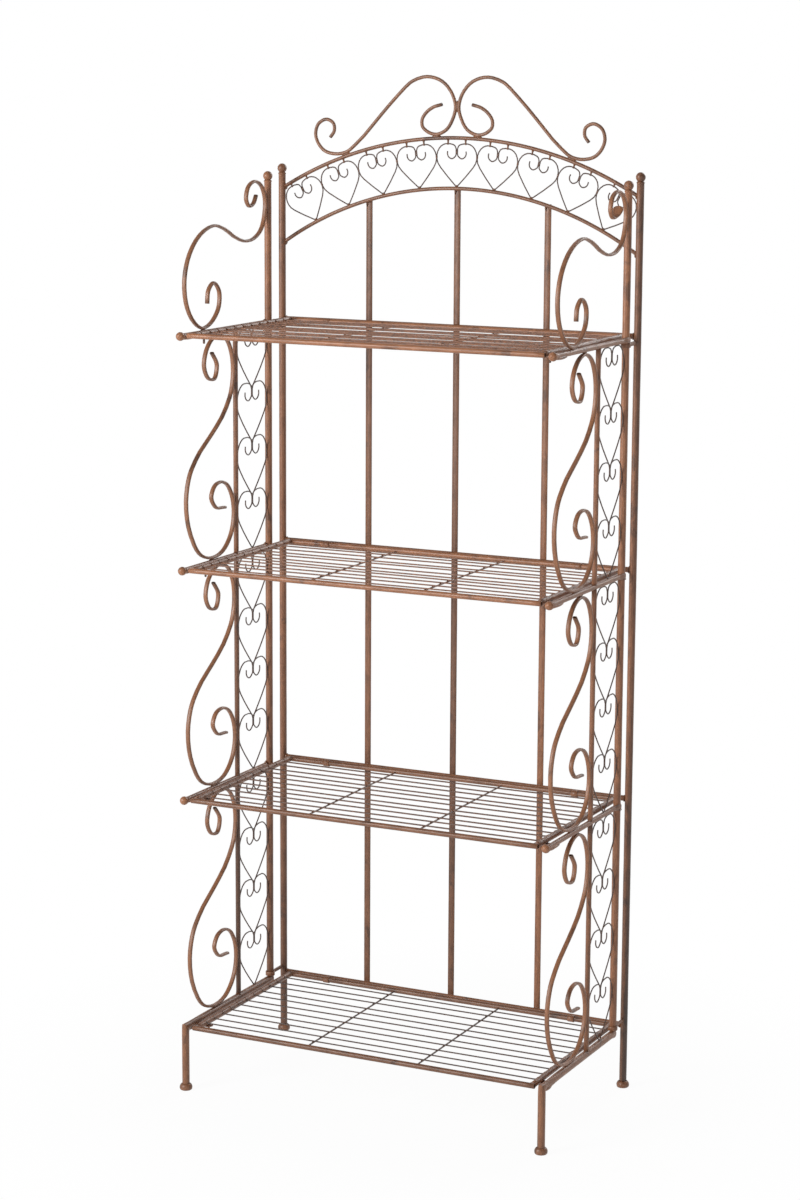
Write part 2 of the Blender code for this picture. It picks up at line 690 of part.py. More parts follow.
def frame_hinge(name, side, height, anchor):
    """An arm on the back post that ends in a ring, in which the side frame's upright turns."""
    inner = UPRIGHT_RADIUS + PIVOT_CLEARANCE
    eye = ring(name, inner, HINGE_WALL, HINGE_HEIGHT, (side * POST_X, UPRIGHT_Y, height))
    near = UPRIGHT_Y + inner + HINGE_WALL / 2
    far = BACK_Y - POST_RADIUS - GAP
    size = (HINGE_ARM_THICKNESS, far - near, HINGE_ARM_HEIGHT)
    combine(eye, box(name + "_arm", size, (side * POST_X, (near + far) / 2, height)))
    return finish(eye, RUST_DARK, anchor)


def build_side_frame(side, word):
    anchor = empty(f"side_frame_{word}", (side * POST_X, UPRIGHT_Y, 0))
    foot_at = (side * POST_X, FRONT_Y, 0)
    upright_foot = BASE_LEVEL + BASE_RADIUS + GAP
    ball = POST_BALL_HEIGHT - UPRIGHT_BALL_DROP
    upright_at = (side * POST_X, UPRIGHT_Y, 0)
    post(f"upright_{word}", UPRIGHT_RADIUS, upright_foot, ball, upright_at, anchor)
    base_leg(f"base_leg_{word}", side, anchor)
    foot(f"front_foot_{word}", foot_at, anchor)
    for bay in range(len(BAY_PITCHES)):
        number = bay + 1
        side_bar(f"side_bar_{word}_{number}", side, number, anchor)
        mid_post(f"mid_post_{word}_{number}", side, bay, anchor)
        bay_scroll(f"side_scroll_{word}_{number}", side, bay, anchor)
        side_hearts(f"side_hearts_{word}_{number}", side, bay, anchor)
    top_scroll(f"top_scroll_{word}", side, anchor)
    below_top_bar = LEVELS[-1] - SIDE_BAR_RADIUS - GAP - HINGE_HEIGHT / 2
    above_base_bar = BASE_LEVEL + BASE_RADIUS + GAP + HINGE_HEIGHT / 2
    frame_hinge(f"hinge_{word}_top", side, below_top_bar, anchor)
    frame_hinge(f"hinge_{word}_bottom", side, above_base_bar, anchor)


def shelf_frame(name, level, anchor):
    """Four rails, with a lock pin under each side rail that drops through the hole of a tab.

    The side rails are a hair thinner than the others, so that no facets lie in one plane.
    """
    outer = SHELF_HALF + SHELF_RAIL_RADIUS
    across = [
        [(-outer, 0, 0), (outer, 0, 0)],
        [(-outer, -SHELF_DEPTH, 0), (outer, -SHELF_DEPTH, 0)],
    ]
    along = [[(side * SHELF_HALF, 0, 0), (side * SHELF_HALF, -SHELF_DEPTH, 0)] for side in (-1, 1)]
    pin_y = PIN_Y - PIVOT_Y
    tip = -SHELF_RAIL_RADIUS - GAP - TAB_THICKNESS - PIN_TIP
    pins = [[(side * SHELF_HALF, pin_y, 0), (side * SHELF_HALF, pin_y, tip)] for side in (-1, 1)]
    at = (0, PIVOT_Y, level)
    frame = tubes(name, across, SHELF_RAIL_RADIUS, TUBE_SIDES, at)
    combine(frame, tubes(name + "_sides", along, SHELF_RAIL_RADIUS - WELD, TUBE_SIDES, at))
    combine(frame, tubes(name + "_pins", pins, PIN_RADIUS, PIN_SIDES, at))
    return finish(frame, RUST, anchor)


def shelf_grid(name, level, anchor):
    """Wires from side to side, welded on two wires that run from the rear rail to the front rail."""
    reach = SHELF_HALF - SHELF_RAIL_RADIUS - GAP
    pitch = SHELF_DEPTH / (GRID_WIRES + 1)
    wires = [[(-reach, -pitch * n, 0), (reach, -pitch * n, 0)] for n in range(1, GRID_WIRES + 1)]
    drop = -(GRID_WIRE_RADIUS + CROSS_WIRE_RADIUS) * (1 - WIRE_SINK_SHARE)
    rear = -SHELF_RAIL_RADIUS - GAP
    front = -SHELF_DEPTH + SHELF_RAIL_RADIUS + GAP
    half = CROSS_WIRE_SPACING / 2
    crossing = [[(side * half, rear, drop), (side * half, front, drop)] for side in (-1, 1)]
    at = (0, PIVOT_Y, level + GRID_WIRE_LIFT)
    grid = tubes(name, wires, GRID_WIRE_RADIUS, WIRE_SIDES, at)
    combine(grid, tubes(name + "_crossing", crossing, CROSS_WIRE_RADIUS, WIRE_SIDES, at))
    return finish(grid, WIRE_BROWN, anchor)


def build_shelf(number, level):
    anchor = empty(f"shelf_{number}_pivot", (0, PIVOT_Y, level))
    shelf_frame(f"shelf_frame_{number}", level, anchor)
    shelf_grid(f"shelf_grid_{number}", level, anchor)


build_back_frame()
build_side_frame(-1, "left")
build_side_frame(1, "right")
for place_of_shelf in range(len(LEVELS)):
    build_shelf(place_of_shelf + 1, shelf_level(place_of_shelf))
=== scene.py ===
"""The look of a folding steel shelf unit in mottled rust-brown paint.

Metres, +Z up, the front faces -Y. The origin is on the floor under the middle of the unit.
"""

import math
import random
from itertools import accumulate

import bmesh
import bpy
import numpy as np
from mathutils import Matrix, Vector
from mathutils.geometry import interpolate_bezier


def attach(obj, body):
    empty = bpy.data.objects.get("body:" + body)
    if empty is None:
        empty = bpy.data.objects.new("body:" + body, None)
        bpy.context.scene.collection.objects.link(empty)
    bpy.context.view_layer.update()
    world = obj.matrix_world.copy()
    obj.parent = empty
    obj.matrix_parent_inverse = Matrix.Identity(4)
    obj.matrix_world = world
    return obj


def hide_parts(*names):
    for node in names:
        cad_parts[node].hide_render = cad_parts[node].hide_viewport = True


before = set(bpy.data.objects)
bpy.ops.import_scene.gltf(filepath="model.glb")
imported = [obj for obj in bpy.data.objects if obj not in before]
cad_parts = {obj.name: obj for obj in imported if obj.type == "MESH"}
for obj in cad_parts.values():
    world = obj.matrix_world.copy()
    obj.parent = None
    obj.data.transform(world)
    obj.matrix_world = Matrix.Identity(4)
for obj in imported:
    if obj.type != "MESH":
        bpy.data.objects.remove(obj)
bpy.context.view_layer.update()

# Layout of the unit, between centre lines
POST_X = 0.348
BACK_Y = 0.185
UPRIGHT_Y = 0.131
FRONT_Y = -0.185
MID_POST_Y = 0.009
LEVELS = list(accumulate((0.4176, 0.412, 0.409), initial=0.1174))
LOWER_ARCH_OVER_TOP_LEVEL = 0.139
UPPER_ARCH_OVER_LOWER = 0.0995
POST_BALL_OVER_ARCH = 0.0355
UPRIGHT_BALL_DROP = 0.012

# Radii of the tubes, rods and wires
POST_RADIUS = 0.0065
BASE_RADIUS = 0.0064
SIDE_BAR_RADIUS = 0.0043
BAR_LOOK_RADIUS = 0.0047
BASE_LOOK_RADIUS = 0.0067
MID_POST_RADIUS = 0.0045
BACK_RAIL_RADIUS = 0.005
SHELF_RAIL_RADIUS = 0.0047
ARCH_RADIUS = 0.0034
CREST_RADIUS = 0.0031
SCROLL_RADIUS = 0.0035
GRID_WIRE_RADIUS = 0.0012
CROSS_WIRE_RADIUS = 0.002
CROSS_WIRE_LOOK_RADIUS = 0.0015
HEART_WIRE_RADIUS = 0.0011
HEART_WIRE_LOOK_RADIUS = 0.00118
TICK_RADIUS = 0.0013
GAP = 0.0003

FINIAL_RADIUS = 0.0085
BAR_BALL_RADIUS = 0.0077
FOOT_SOCKET_FLOOR = 0.005

LOWER_ARCH_RISE = 0.107
UPPER_ARCH_RISE = 0.0955
SLAT_WIDTH = 0.0117
SLAT_THICKNESS = 0.003
SLAT_SPACING = 0.174
SLAT_LAP = 0.002
EYE_SETTING = 0.25
EYE_WALL = 0.001
EYE_LENGTH = 0.012
CREST_WIDTH = 0.28
CREST_HEIGHT = 0.137

ARCH_HEARTS = 9
TICK_ROOM = 0.0068
HEARTS_PER_BAY = 4
HEART_NEST = 0.0064
HEART_WELD = 0.001
LOBE_WELD_UP = 0.81
TICK_SHAPE = (1.5, 1.2, 1.9)
LOBE_GAP = 0.0004

SCROLL_FRONT_SETBACK = 0.017
TOP_SCROLL_HEIGHT = 0.246
HINGE_WALL = 0.0018
HINGE_HEIGHT = 0.008
HINGE_ARM_THICKNESS = 0.003
HINGE_ARM_HEIGHT = 0.0072

PIVOT_Y = 0.1738
SHELF_DEPTH = 0.356
SHELF_HALF = 0.325
SIDE_RAIL_X = 0.3282
SIDE_RAIL_RADIUS = 0.0055
GRID_WIRES = 11
GRID_WIRE_LIFT = 0.001
CROSS_WIRE_SPACING = 0.214
WIRE_WANDER = 0.0006
WIRE_SWAY = 0.0012
WIRE_TILT = 0.0008
WIRE_END_RISE = 0.0016
GRID_LOOK_RADII = (0.0013, 0.0014, 0.0013, 0.0015)
TAB_WIDTH = 0.016
TAB_THICKNESS = 0.0025
TAB_SINK = 0.0012
TAB_TAIL = 0.0007
TAB_EDGE = 0.0006
BASE_TAB_END = 0.001
PIN_RADIUS = 0.002
PIN_Y = -0.1417
PIN_TIP = 0.0095
PIN_HOLE_RADIUS = 0.0033
PIVOT_CLEARANCE = 0.0004

# Darkening of the paint, from -0.8 for lighter to 1.6 for black: stains and dirt, painted shade in hollows,
# creases and on shaded sides, and tones set by height and side
# Upright pieces have three values: low down, halfway up and near the top; -1 is the left side, 1 the right
# Darker or lighter by height and by side, one profile per piece
DARKENING_HEIGHTS = (0.2, 0.8, 1.45)
BACK_POST_DARKENING = {-1: (0.7, -0.2, 0.1), 1: (0.75, -0.3, 0.15)}
# Painted shade: how much darker each back post's right-hand side is
BACK_POST_RIGHT_SHADE = {-1: 0.1, 1: 0.6}
UPRIGHT_DARKENING = {-1: (0.55, -0.2, -0.45), 1: (-0.3, -0.4, -0.8)}
MID_POST_DARKENING = {-1: (1.1, 0.6, 0.0), 1: (0.15, -0.15, -0.22)}
SLAT_DARKENING = {-1: (0.4, 0.05, 0.65), 0: (0.6, 0.65, 0.35), 1: (-0.3, -0.4, 0.15)}
SLAT_END_STAIN = 0.6
# Darker on the left side frame
SCROLL_DARKENING = {-1: 0.16, 1: 0.0}
BASE_BAR_DARKENING = {-1: 0.4, 1: 0.0}
LEG_STAIN = 0.14
ARCH_STAIN = 0.25
CREST_STAIN = 0.35
PIN_STAIN = 0.85
BAR_BALL_STAIN = -0.35
# Darker towards the bottom and lighter towards the top, per bar or shelf from the bottom
SIDE_BAR_LIGHTENING = (-0.1, 0.0, 0.1)
GRID_DARKENING = (1.2, 0.6, -0.3, -0.45)
RAIL_DARKENING = (0.5, 0.28, -0.5, -0.7)
SIDE_RAIL_SHARE = 0.3
# A tab's darkening at its side low and high, its top, the hole's top and bottom, and its underside: painted
# shade in the pin hole and underneath
TAB_STAIN_AND_SHADE = (0.25, 0.15, 0.1, 0.6, 1.0, 0.5)
# Painted shade in the crease between a tube's collar and its ball
CREASE_SHADE = 0.5
CRIMP_STAIN = 0.2
LIP_STAIN = 0.15
# Painted shade inside an open tube end: dark at its mouth and black deeper in its throat
MOUTH_SHADE = 1.0
THROAT_SHADE = 1.6
CUT_END_STAIN = 0.8
CUT_END_REACH = 0.006

# Lightest and blackest darkening, stains and painted shade alike, and what they multiply the paint's colour
# by
DARKENING_TO_COLOUR_SCALE = (-0.8, 1.6, 1.44, 0.12)
PAINT_ROUGHNESS = 0.48

# Sides of the rods' round sections
WIRE_SIDES, ROD_SIDES, SCROLL_SIDES, BAR_SIDES = 8, 14, 16, 18
# Ends of rods, as shares of the rod's radius
EDGE_ROUNDING = 0.12
MOUTH_WIDTH = 0.66
THROAT_WIDTH = 0.6
MOUTH_DEPTH = 2.2
DOME_HEIGHT = 0.75
DOME_ANGLES = (12, 30, 50, 70)

# The top of a tube under its ball: share of the tube's radius, and height from the ball's centre in mm
COLLAR = [(1, -11.2), (1.1, -9.8), (1.12, -8.7), (0.98, -7.8), (0.86, -6.8)]
NECK, COLLAR_LOW = COLLAR[-1][0], COLLAR[0][1] / 1000
BALL_TIP = 0.08
# A foot from its sole over the rim and down into the socket: radius and height in mm, and darkening, painted
# shade down in the socket and under the sole
FOOT = [
    (0, 0, 0.2), (8.4, 0, 0.2), (10, 0.6, 0.15), (11.1, 2, 0), (11.5, 4.2, 0),
    (11.4, 6.4, 0), (10.7, 8.6, 0), (9.6, 10.3, 0), (8.4, 11.4, 0.1), (7.6, 11.9, 0.4),
    (7.2, 12, 0.6), (6.8, 11.7, 0.9), (6.8, 5, 1.2), (0, 5, 1.2),
]
RING_INNER_EDGE = 0.0004
RING_OUTER_EDGE = 0.0005
SLAT_CORNER = 0.0007
SLAT_END = 0.012
POST_WAVER = 0.012
SLAT_WAVER = 0.006

# The bars are crushed thin and tall at the rear, beside the uprights, and the base bars also over their legs
BAR_LAP = 0.0045
BAR_BALL_SETBACK = 0.002
BAR_CRIMP = (0.018, 0.013)
BAR_CRIMP_SCALE = (-0.5, 0.22)
BASE_CRIMP = (0.02, 0.018)
BASE_CRIMP_SCALE = (-0.25, 0.26)
BASE_CRIMP_DROP = 0.0013
LEG_CRIMP_REACH = 0.062
LEG_CRIMP_LENGTH = 0.036
LEG_CORNER_SCALE = (0.9, math.sqrt(2) * 1.04)
LEG_BEND = 0.0078

# Half sizes of weld beads along, across and out of the rod, in millimetres, and the angle of a bead's tip
SCROLL_ON_BAR = (8.5, 1.8, 2.8)
SCROLL_ON_POST = (9.5, 1.8, 2.8)
BEAD_TIP = 0.12
# Each rod starts somewhere in this length of the paint's pattern
PATTERN_SPAN = 50.0

# Outlines of the bent rods, as fractions of the box that each one fills: forward or outward, then up
BAY_SCROLL = [
    (0.45, 0.925), (0.345, 0.865), (0.4, 0.807), (0.52, 0.812), (0.612, 0.868), (0.575, 0.932),
    (0.465, 0.98), (0.295, 1), (0.135, 0.973), (0.03, 0.905), (0, 0.83), (0.04, 0.74),
    (0.2, 0.645), (0.48, 0.555), (0.76, 0.475), (0.93, 0.395), (1, 0.3), (0.985, 0.205),
    (0.905, 0.12), (0.725, 0.03), (0.5, 0), (0.235, 0.018), (0.06, 0.088), (0, 0.18),
    (0.045, 0.262), (0.155, 0.317), (0.29, 0.334), (0.42, 0.318), (0.48, 0.275), (0.4, 0.227), (0.19, 0.213),
]
TOP_SCROLL = [
    (0.113, 0.9), (0.15, 0.841), (0.202, 0.825), (0.238, 0.87), (0.222, 0.95), (0.132, 1),
    (0.043, 0.96), (0, 0.87), (0.003, 0.768), (0.052, 0.65), (0.136, 0.593), (0.255, 0.577),
    (0.374, 0.61), (0.51, 0.679), (0.629, 0.711), (0.768, 0.679), (0.881, 0.6), (0.964, 0.48),
    (1, 0.337), (0.98, 0.187), (0.91, 0.07), (0.791, 0), (0.665, 0.041), (0.583, 0.15),
    (0.583, 0.244), (0.652, 0.309), (0.715, 0.256), (0.728, 0.167),
]
CREST_SCROLL = [
    (0.093, 0.65), (0.157, 0.613), (0.204, 0.547), (0.234, 0.453), (0.232, 0.372), (0.2, 0.307),
    (0.132, 0.27), (0.064, 0.328), (0.018, 0.467), (0, 0.613), (0.021, 0.774), (0.089, 0.934),
    (0.193, 1), (0.304, 0.942), (0.4, 0.774), (0.543, 0.474), (0.686, 0.168), (0.782, 0.022),
    (0.864, 0), (0.939, 0.044), (0.982, 0.139), (1, 0.255), (0.979, 0.387), (0.918, 0.445),
    (0.868, 0.387), (0.864, 0.299), (0.893, 0.212),
]
# Half of a wire heart from its point to the end of the curl, as fractions of half its width and of its height
HALF_HEART = [
    (0, 0), (0.055, 0.005), (0.12, 0.035), (0.46, 0.222), (0.8, 0.425), (0.945, 0.54),
    (1, 0.677), (0.965, 0.8), (0.81, 0.93), (0.61, 0.99), (0.44, 1), (0.275, 0.992),
    (0.155, 0.972), (0.084, 0.943), (0.042, 0.904), (0, 0.85), (0, 0.765), (0.09, 0.69),
    (0.24, 0.643), (0.39, 0.675), (0.464, 0.745), (0.46, 0.82),
]
HEART_WIDEST = 0.677
LOBE_TOP = 0.44
ABOVE_POINT = 0.5
LOBE_INDEX = 11
SIDE_CURL = 0.87

SCROLL_FLATNESS = (1.17, 0.74)
SCROLL_SQUARE = 2.7
HAMMERED_LENGTH = 0.034
HAMMERED_TIP = 0.009
HAMMERED_WIDER = 1.7
HAMMERED_THINNER = 0.3
SPLINE_STEPS = 12
SCROLL_TURN = math.radians(7)
HEART_TURN = math.radians(14)
LONGEST_STEP = 0.02

ACROSS = (1.0, 0.0, 0.0)
DEEP = (0.0, 1.0, 0.0)
UP = (0.0, 0.0, 1.0)


# Paths

line = np.linspace


def smooth_path(points):
    """A smooth curve through the points, finely sampled."""
    points = [Vector(point) for point in points]
    spans = [(end - start).length for start, end in zip(points, points[1:])]
    slopes = [(end - start) / span for start, end, span in zip(points, points[1:], spans)]
    tangents = [slopes[0]]
    for before, after, span_before, span_after in zip(slopes, slopes[1:], spans, spans[1:]):
        tangents.append((before * span_after + after * span_before) / (span_before + span_after))
    tangents.append(slopes[-1])
    path = []
    for start, end, span, leaving, arriving in zip(points, points[1:], spans, tangents, tangents[1:]):
        handles = (start + leaving * span / 3, end - arriving * span / 3)
        path += interpolate_bezier(start, *handles, end, SPLINE_STEPS + 1)[:-1]
    return [*path, points[-1]]


def thinned(path, turn):
    """Keeps a point of a fine path wherever it has turned by this angle or run the longest step."""
    kept = [path[0]]
    turned_by = 0.0
    for before, here, after in zip(path, path[1:], path[2:]):
        turned_by += (here - before).angle(after - here)
        if turned_by >= turn or (here - kept[-1]).length >= LONGEST_STEP:
            kept.append(here)
            turned_by = 0.0
    kept.append(path[-1])
    return kept


def bent_rod(outline, width, height):
    """A smooth path through an outline, scaled until its own box has this width and height."""
    fine = smooth_path([(across * width, up * height) for across, up in outline])
    path = np.array([tuple(point)[:2] for point in thinned(fine, SCROLL_TURN)])
    low, high = path.min(0), path.max(0)
    return (path - low) / (high - low) * (width, height)


def heart(half_width, height, curl=1.0):
    """One wire heart on its point, from the end of one curl over both lobes to the end of the other.

    curl shortens the two curls that hang between the lobes.
    """
    across, up = np.array(HALF_HEART).T
    up[LOBE_INDEX:] = 1 - (1 - up[LOBE_INDEX:]) * curl
    outline = list(zip(across * half_width, up * height))
    mirrored = [(-across, up) for across, up in reversed(outline[1:])]
    fine = smooth_path(mirrored + outline)
    half = np.array([tuple(at)[:2] for at in thinned(fine[len(fine) // 2:], HEART_TURN)])
    half *= (half_width / half[:, 0].max(), height / half[:, 1].max())
    lobe = half[:, 1] > ABOVE_POINT * height
    half[lobe, 0] = np.maximum(half[lobe, 0], HEART_WIRE_RADIUS + LOBE_GAP / 2)
    return np.vstack([half[:0:-1] * (-1, 1), half])


class Arch:
    """A round arch in the back frame, springing from the centre lines of the posts."""

    def __init__(self, spring, rise):
        self.radius = (POST_X**2 + rise**2) / (2 * rise)
        self.centre = np.array((0, spring + rise - self.radius))

    def height(self, across):
        return self.centre[1] + math.sqrt(self.radius**2 - across**2)

    def angle(self, across):
        return math.asin(across / self.radius)

    def clear_of(self, path):
        """How far points lie outside the arch's centre line."""
        return np.linalg.norm(path - self.centre, axis=1) - self.radius

    def path(self, steps):
        last = self.angle(POST_X - POST_RADIUS / 2)
        angles = line(-last, last, steps)
        return self.centre + self.radius * np.column_stack([np.sin(angles), np.cos(angles)])


LOWER_SPRING = LEVELS[-1] + LOWER_ARCH_OVER_TOP_LEVEL
UPPER_SPRING = LOWER_SPRING + UPPER_ARCH_OVER_LOWER
LOWER_ARCH = Arch(LOWER_SPRING, LOWER_ARCH_RISE)
UPPER_ARCH = Arch(UPPER_SPRING, UPPER_ARCH_RISE)
ARCH_Y = BACK_Y + BACK_RAIL_RADIUS - ARCH_RADIUS
POST_BALL = UPPER_SPRING + POST_BALL_OVER_ARCH


def bar_radius(number):
    return BASE_RADIUS if number == 0 else SIDE_BAR_RADIUS


def shelf_level(number):
    """The height of a shelf whose rails rest on the tabs under the side bars."""
    return LEVELS[number] - bar_radius(number) + TAB_SINK + GAP + SHELF_RAIL_RADIUS


def in_side_plane(path, side, rear, low):
    path = np.asarray(path)
    return np.column_stack([np.full(len(path), side * POST_X), rear - path[:, 0], low + path[:, 1]])


def to_back(point, depth=ARCH_Y):
    return np.array((point[0], depth, point[1]))


def in_back_plane(path):
    return np.array([to_back(point) for point in path])


def run_along(path):
    """How far along a path each of its points lies."""
    return np.append(0, np.cumsum(np.linalg.norm(np.diff(path, axis=0), axis=1)))


def eased(value):
    """A slope from 0 to 1 with soft ends."""
    value = np.clip(value, 0, 1)
    return value * value * (3 - 2 * value)


def dark_ends(path, stain):
    """The stain along a bent rod, darker over the last few millimetres before both cut ends."""
    run = run_along(path)
    near = np.minimum(run, run[-1] - run)
    return stain + CUT_END_STAIN * np.clip(1 - near / CUT_END_REACH, 0, 1)


# Meshes

def unit(vector):
    return np.asarray(vector, float) / np.linalg.norm(vector)


def placed(name, data):
    """A new object of the scene."""
    thing = bpy.data.objects.new(name, data)
    bpy.context.scene.collection.objects.link(thing)
    return thing


def square_to(axis):
    """Two directions at right angles to an axis and to each other."""
    axis = unit(axis)
    across = unit(np.cross(axis, (0.3, 0.9, 0.1) if abs(axis[2]) > 0.9 else UP))
    return across, np.cross(axis, across)


def between_loops(count, sides, joins):
    """The faces that join loops of points to the next ones; after the last loop comes the first."""
    faces = []
    for row in range(joins):
        here, there = row * sides, (row + 1) % count * sides
        for side in range(sides):
            after = (side + 1) % sides
            faces.append((here + side, here + after, there + after, there + side))
    return faces


class Look:
    """Gathers the surfaces of one piece, with what its paint needs to know at each point.

    rod: place across and along the rod, for streaks; then how much darker the paint is, from stains and from
    painted shade in hollows, creases and on shaded sides; bare: how far the paint has a weld's colour
    """

    def __init__(self, node):
        self.node = node
        self.name = node + "_look"
        self.chance = random.Random(self.name)
        self.points, self.faces, self.rod, self.stain, self.bare = [], [], [], [], []

    def add(self, points, faces, rod, stain, bare):
        first = len(self.points)
        self.points += [tuple(point) for point in points]
        self.faces += [tuple(first + corner for corner in face) for face in faces]
        self.rod += [tuple(place) for place in rod]
        self.stain += list(np.broadcast_to(stain, len(points)))
        self.bare += list(np.broadcast_to(bare, len(points)))

    def rings(self, rings, rod, stain, bare=0.0):
        """Joins rings of points into a closed skin; the first and the last ring are covered."""
        count, sides = rings.shape[:2]
        points = list(rings.reshape(-1, 3)) + [rings[0].mean(0), rings[-1].mean(0)]
        places = list(rod.reshape(-1, 3)) + [rod[0].mean(0), rod[-1].mean(0)]
        dark = np.repeat(np.broadcast_to(stain, count), sides)
        dark = np.append(dark, [dark[0], dark[-1]])
        faces = between_loops(count, sides, count - 1)
        bottom, top, last = count * sides, count * sides + 1, (count - 1) * sides
        for side in range(sides):
            after = (side + 1) % sides
            faces += [(bottom, after, side), (top, last + side, last + after)]
        self.add(points, faces, places, dark, bare)

    def sweep(self, path, radius, sides=12, face=ACROSS, ends=("flat", "flat"), scale=(1, 1),
              stain=0.0, bare=0.0, square=2.0):
        """A rod along a path; scale widens it towards the face direction and at right angles to it.

        square is 2 for a round rod and more for one with flatter sides.
        """
        path = np.asarray(path, float)
        tangents = np.gradient(path, axis=0)
        tangents /= np.linalg.norm(tangents, axis=1)[:, None]
        across = np.empty_like(path)
        facing = np.asarray(face, float)
        for index, tangent in enumerate(tangents):
            facing = unit(facing - tangent * (facing @ tangent))
            across[index] = facing
        upward = np.cross(tangents, across)
        run = run_along(path) + self.chance.uniform(0, PATTERN_SPAN)
        count = len(path)
        wide = np.broadcast_to(scale, (count, 2)) * np.broadcast_to(radius, count)[:, None]
        rows = list(zip(path, across, upward, wide, run, np.broadcast_to(stain, count)))
        last = self.end(rows[::-1], ends[1], -tangents[-1])
        rows = self.end(rows, ends[0], tangents[0]) + rows[1:-1] + last[::-1]
        turn = line(0, math.tau, sides, endpoint=False)
        cosine = np.sign(np.cos(turn)) * np.abs(np.cos(turn)) ** (2 / square)
        sine = np.sign(np.sin(turn)) * np.abs(np.sin(turn)) ** (2 / square)
        rings = np.array([
            at + size[0] * cosine[:, None] * a + size[1] * sine[:, None] * u for at, a, u, size, _, _ in rows
        ])
        rod = np.array([
            np.column_stack([size[0] * cosine, size[1] * sine, np.full(sides, along)])
            for _, _, _, size, along, _ in rows
        ])
        self.rings(rings, rod, np.array([row[5] for row in rows]), bare)

    def end(self, rows, kind, inward):
        """The rows that finish one end of a rod, from its middle outward to the first full ring."""
        at, across, upward, size, run, stain = rows[0]
        slim = size.min()

        def row(depth, size, stain=stain):
            return [at + depth * inward, across, upward, size, run, stain]

        if kind == "round":
            tall = slim * DOME_HEIGHT
            angles = np.radians(DOME_ANGLES)
            return [row(tall * (1 - math.cos(a)), size * math.sin(a)) for a in angles] + [row(tall, size)]
        edge = EDGE_ROUNDING * slim
        finished = [row(0, size - edge, stain + LIP_STAIN), row(edge, size)]
        if kind == "open":
            # An open end is hollow, with painted shade in its mouth and throat
            throat = row(MOUTH_DEPTH * slim, size * THROAT_WIDTH, THROAT_SHADE)
            finished = [throat, row(0, size * MOUTH_WIDTH, MOUTH_SHADE)] + finished
        return finished

    def turned(self, profile, origin, axis=UP, sides=24, stain=0.0):
        """Turns a profile of radius and height about an axis. The profile starts and ends near the axis."""
        across, upward = square_to(axis)
        turn = line(0, math.tau, sides, endpoint=False)
        circle = np.cos(turn)[:, None] * across + np.sin(turn)[:, None] * upward
        axis, profile = unit(axis), np.asarray(profile, float)
        rings = np.array([origin + height * axis + max(radius, 1e-5) * circle for radius, height in profile])
        start = self.chance.uniform(0, PATTERN_SPAN)
        rod = np.array([
            np.column_stack([radius * np.cos(turn), radius * np.sin(turn), np.full(sides, height + start)])
            for radius, height in profile
        ])
        self.rings(rings, rod, stain)

    def wrapped(self, loops, rod, stain):
        """Joins closed loops of points, the last one to the first: a ring, or a plate with a hole."""
        faces = between_loops(len(loops), len(loops[0]), len(loops))
        self.add(np.reshape(loops, (-1, 3)), faces, np.reshape(rod, (-1, 3)), stain, 0.0)

    def bead(self, at, size, along=UP, face=ACROSS, stain=0.45, bare=1.0, rough=0.16, steps=(6, 10)):
        """A weld bead: an uneven ellipsoid with these half sizes along, across and out of its face, in mm."""
        size = np.divide(size, 1000)
        along = unit(along)
        face = unit(np.asarray(face, float) - along * np.dot(face, along))
        other = np.cross(along, face)
        rows, sides = steps
        tilt = line(BEAD_TIP, math.pi - BEAD_TIP, rows)
        turn = line(0, math.tau, sides, endpoint=False)
        phases = [self.chance.uniform(0, math.tau) for _ in range(4)]
        rings = []
        for angle in tilt:
            swell = 1 + rough * (np.sin(2 * turn + phases[0]) * math.sin(3 * angle + phases[1])
                                 + 0.6 * np.sin(3 * turn + phases[2]) * math.cos(4 * angle + phases[3]))
            radial = math.sin(angle) * swell
            rings.append(
                np.asarray(at, float)
                + size[0] * math.cos(angle) * along
                + (size[1] * radial * np.cos(turn))[:, None] * other
                + (size[2] * radial * np.sin(turn))[:, None] * face
            )
        rings = np.array(rings)
        self.rings(rings, rings - np.asarray(at) + phases[0], stain, bare)

    def finish(self, slot, body):
        mesh = bpy.data.meshes.new(self.name)
        mesh.from_pydata(self.points, [], self.faces)
        solid = bmesh.new()
        solid.from_mesh(mesh)
        bmesh.ops.recalc_face_normals(solid, faces=solid.faces)
        solid.to_mesh(mesh)
        solid.free()
        mesh.shade_smooth()
        mesh.set_sharp_from_angle(angle=math.radians(50))
        place = mesh.attributes.new("rod", "FLOAT_VECTOR", "POINT")
        place.data.foreach_set("vector", np.ravel(self.rod))
        for name, values in (("stain", self.stain), ("bare", self.bare)):
            layer = mesh.attributes.new(name, "FLOAT", "POINT")
            layer.data.foreach_set("value", np.array(values, float))
        mesh.materials.append(PAINTS[slot])
        piece = placed(self.name, mesh)
        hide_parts(self.node)
        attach(piece, body)


# Paint

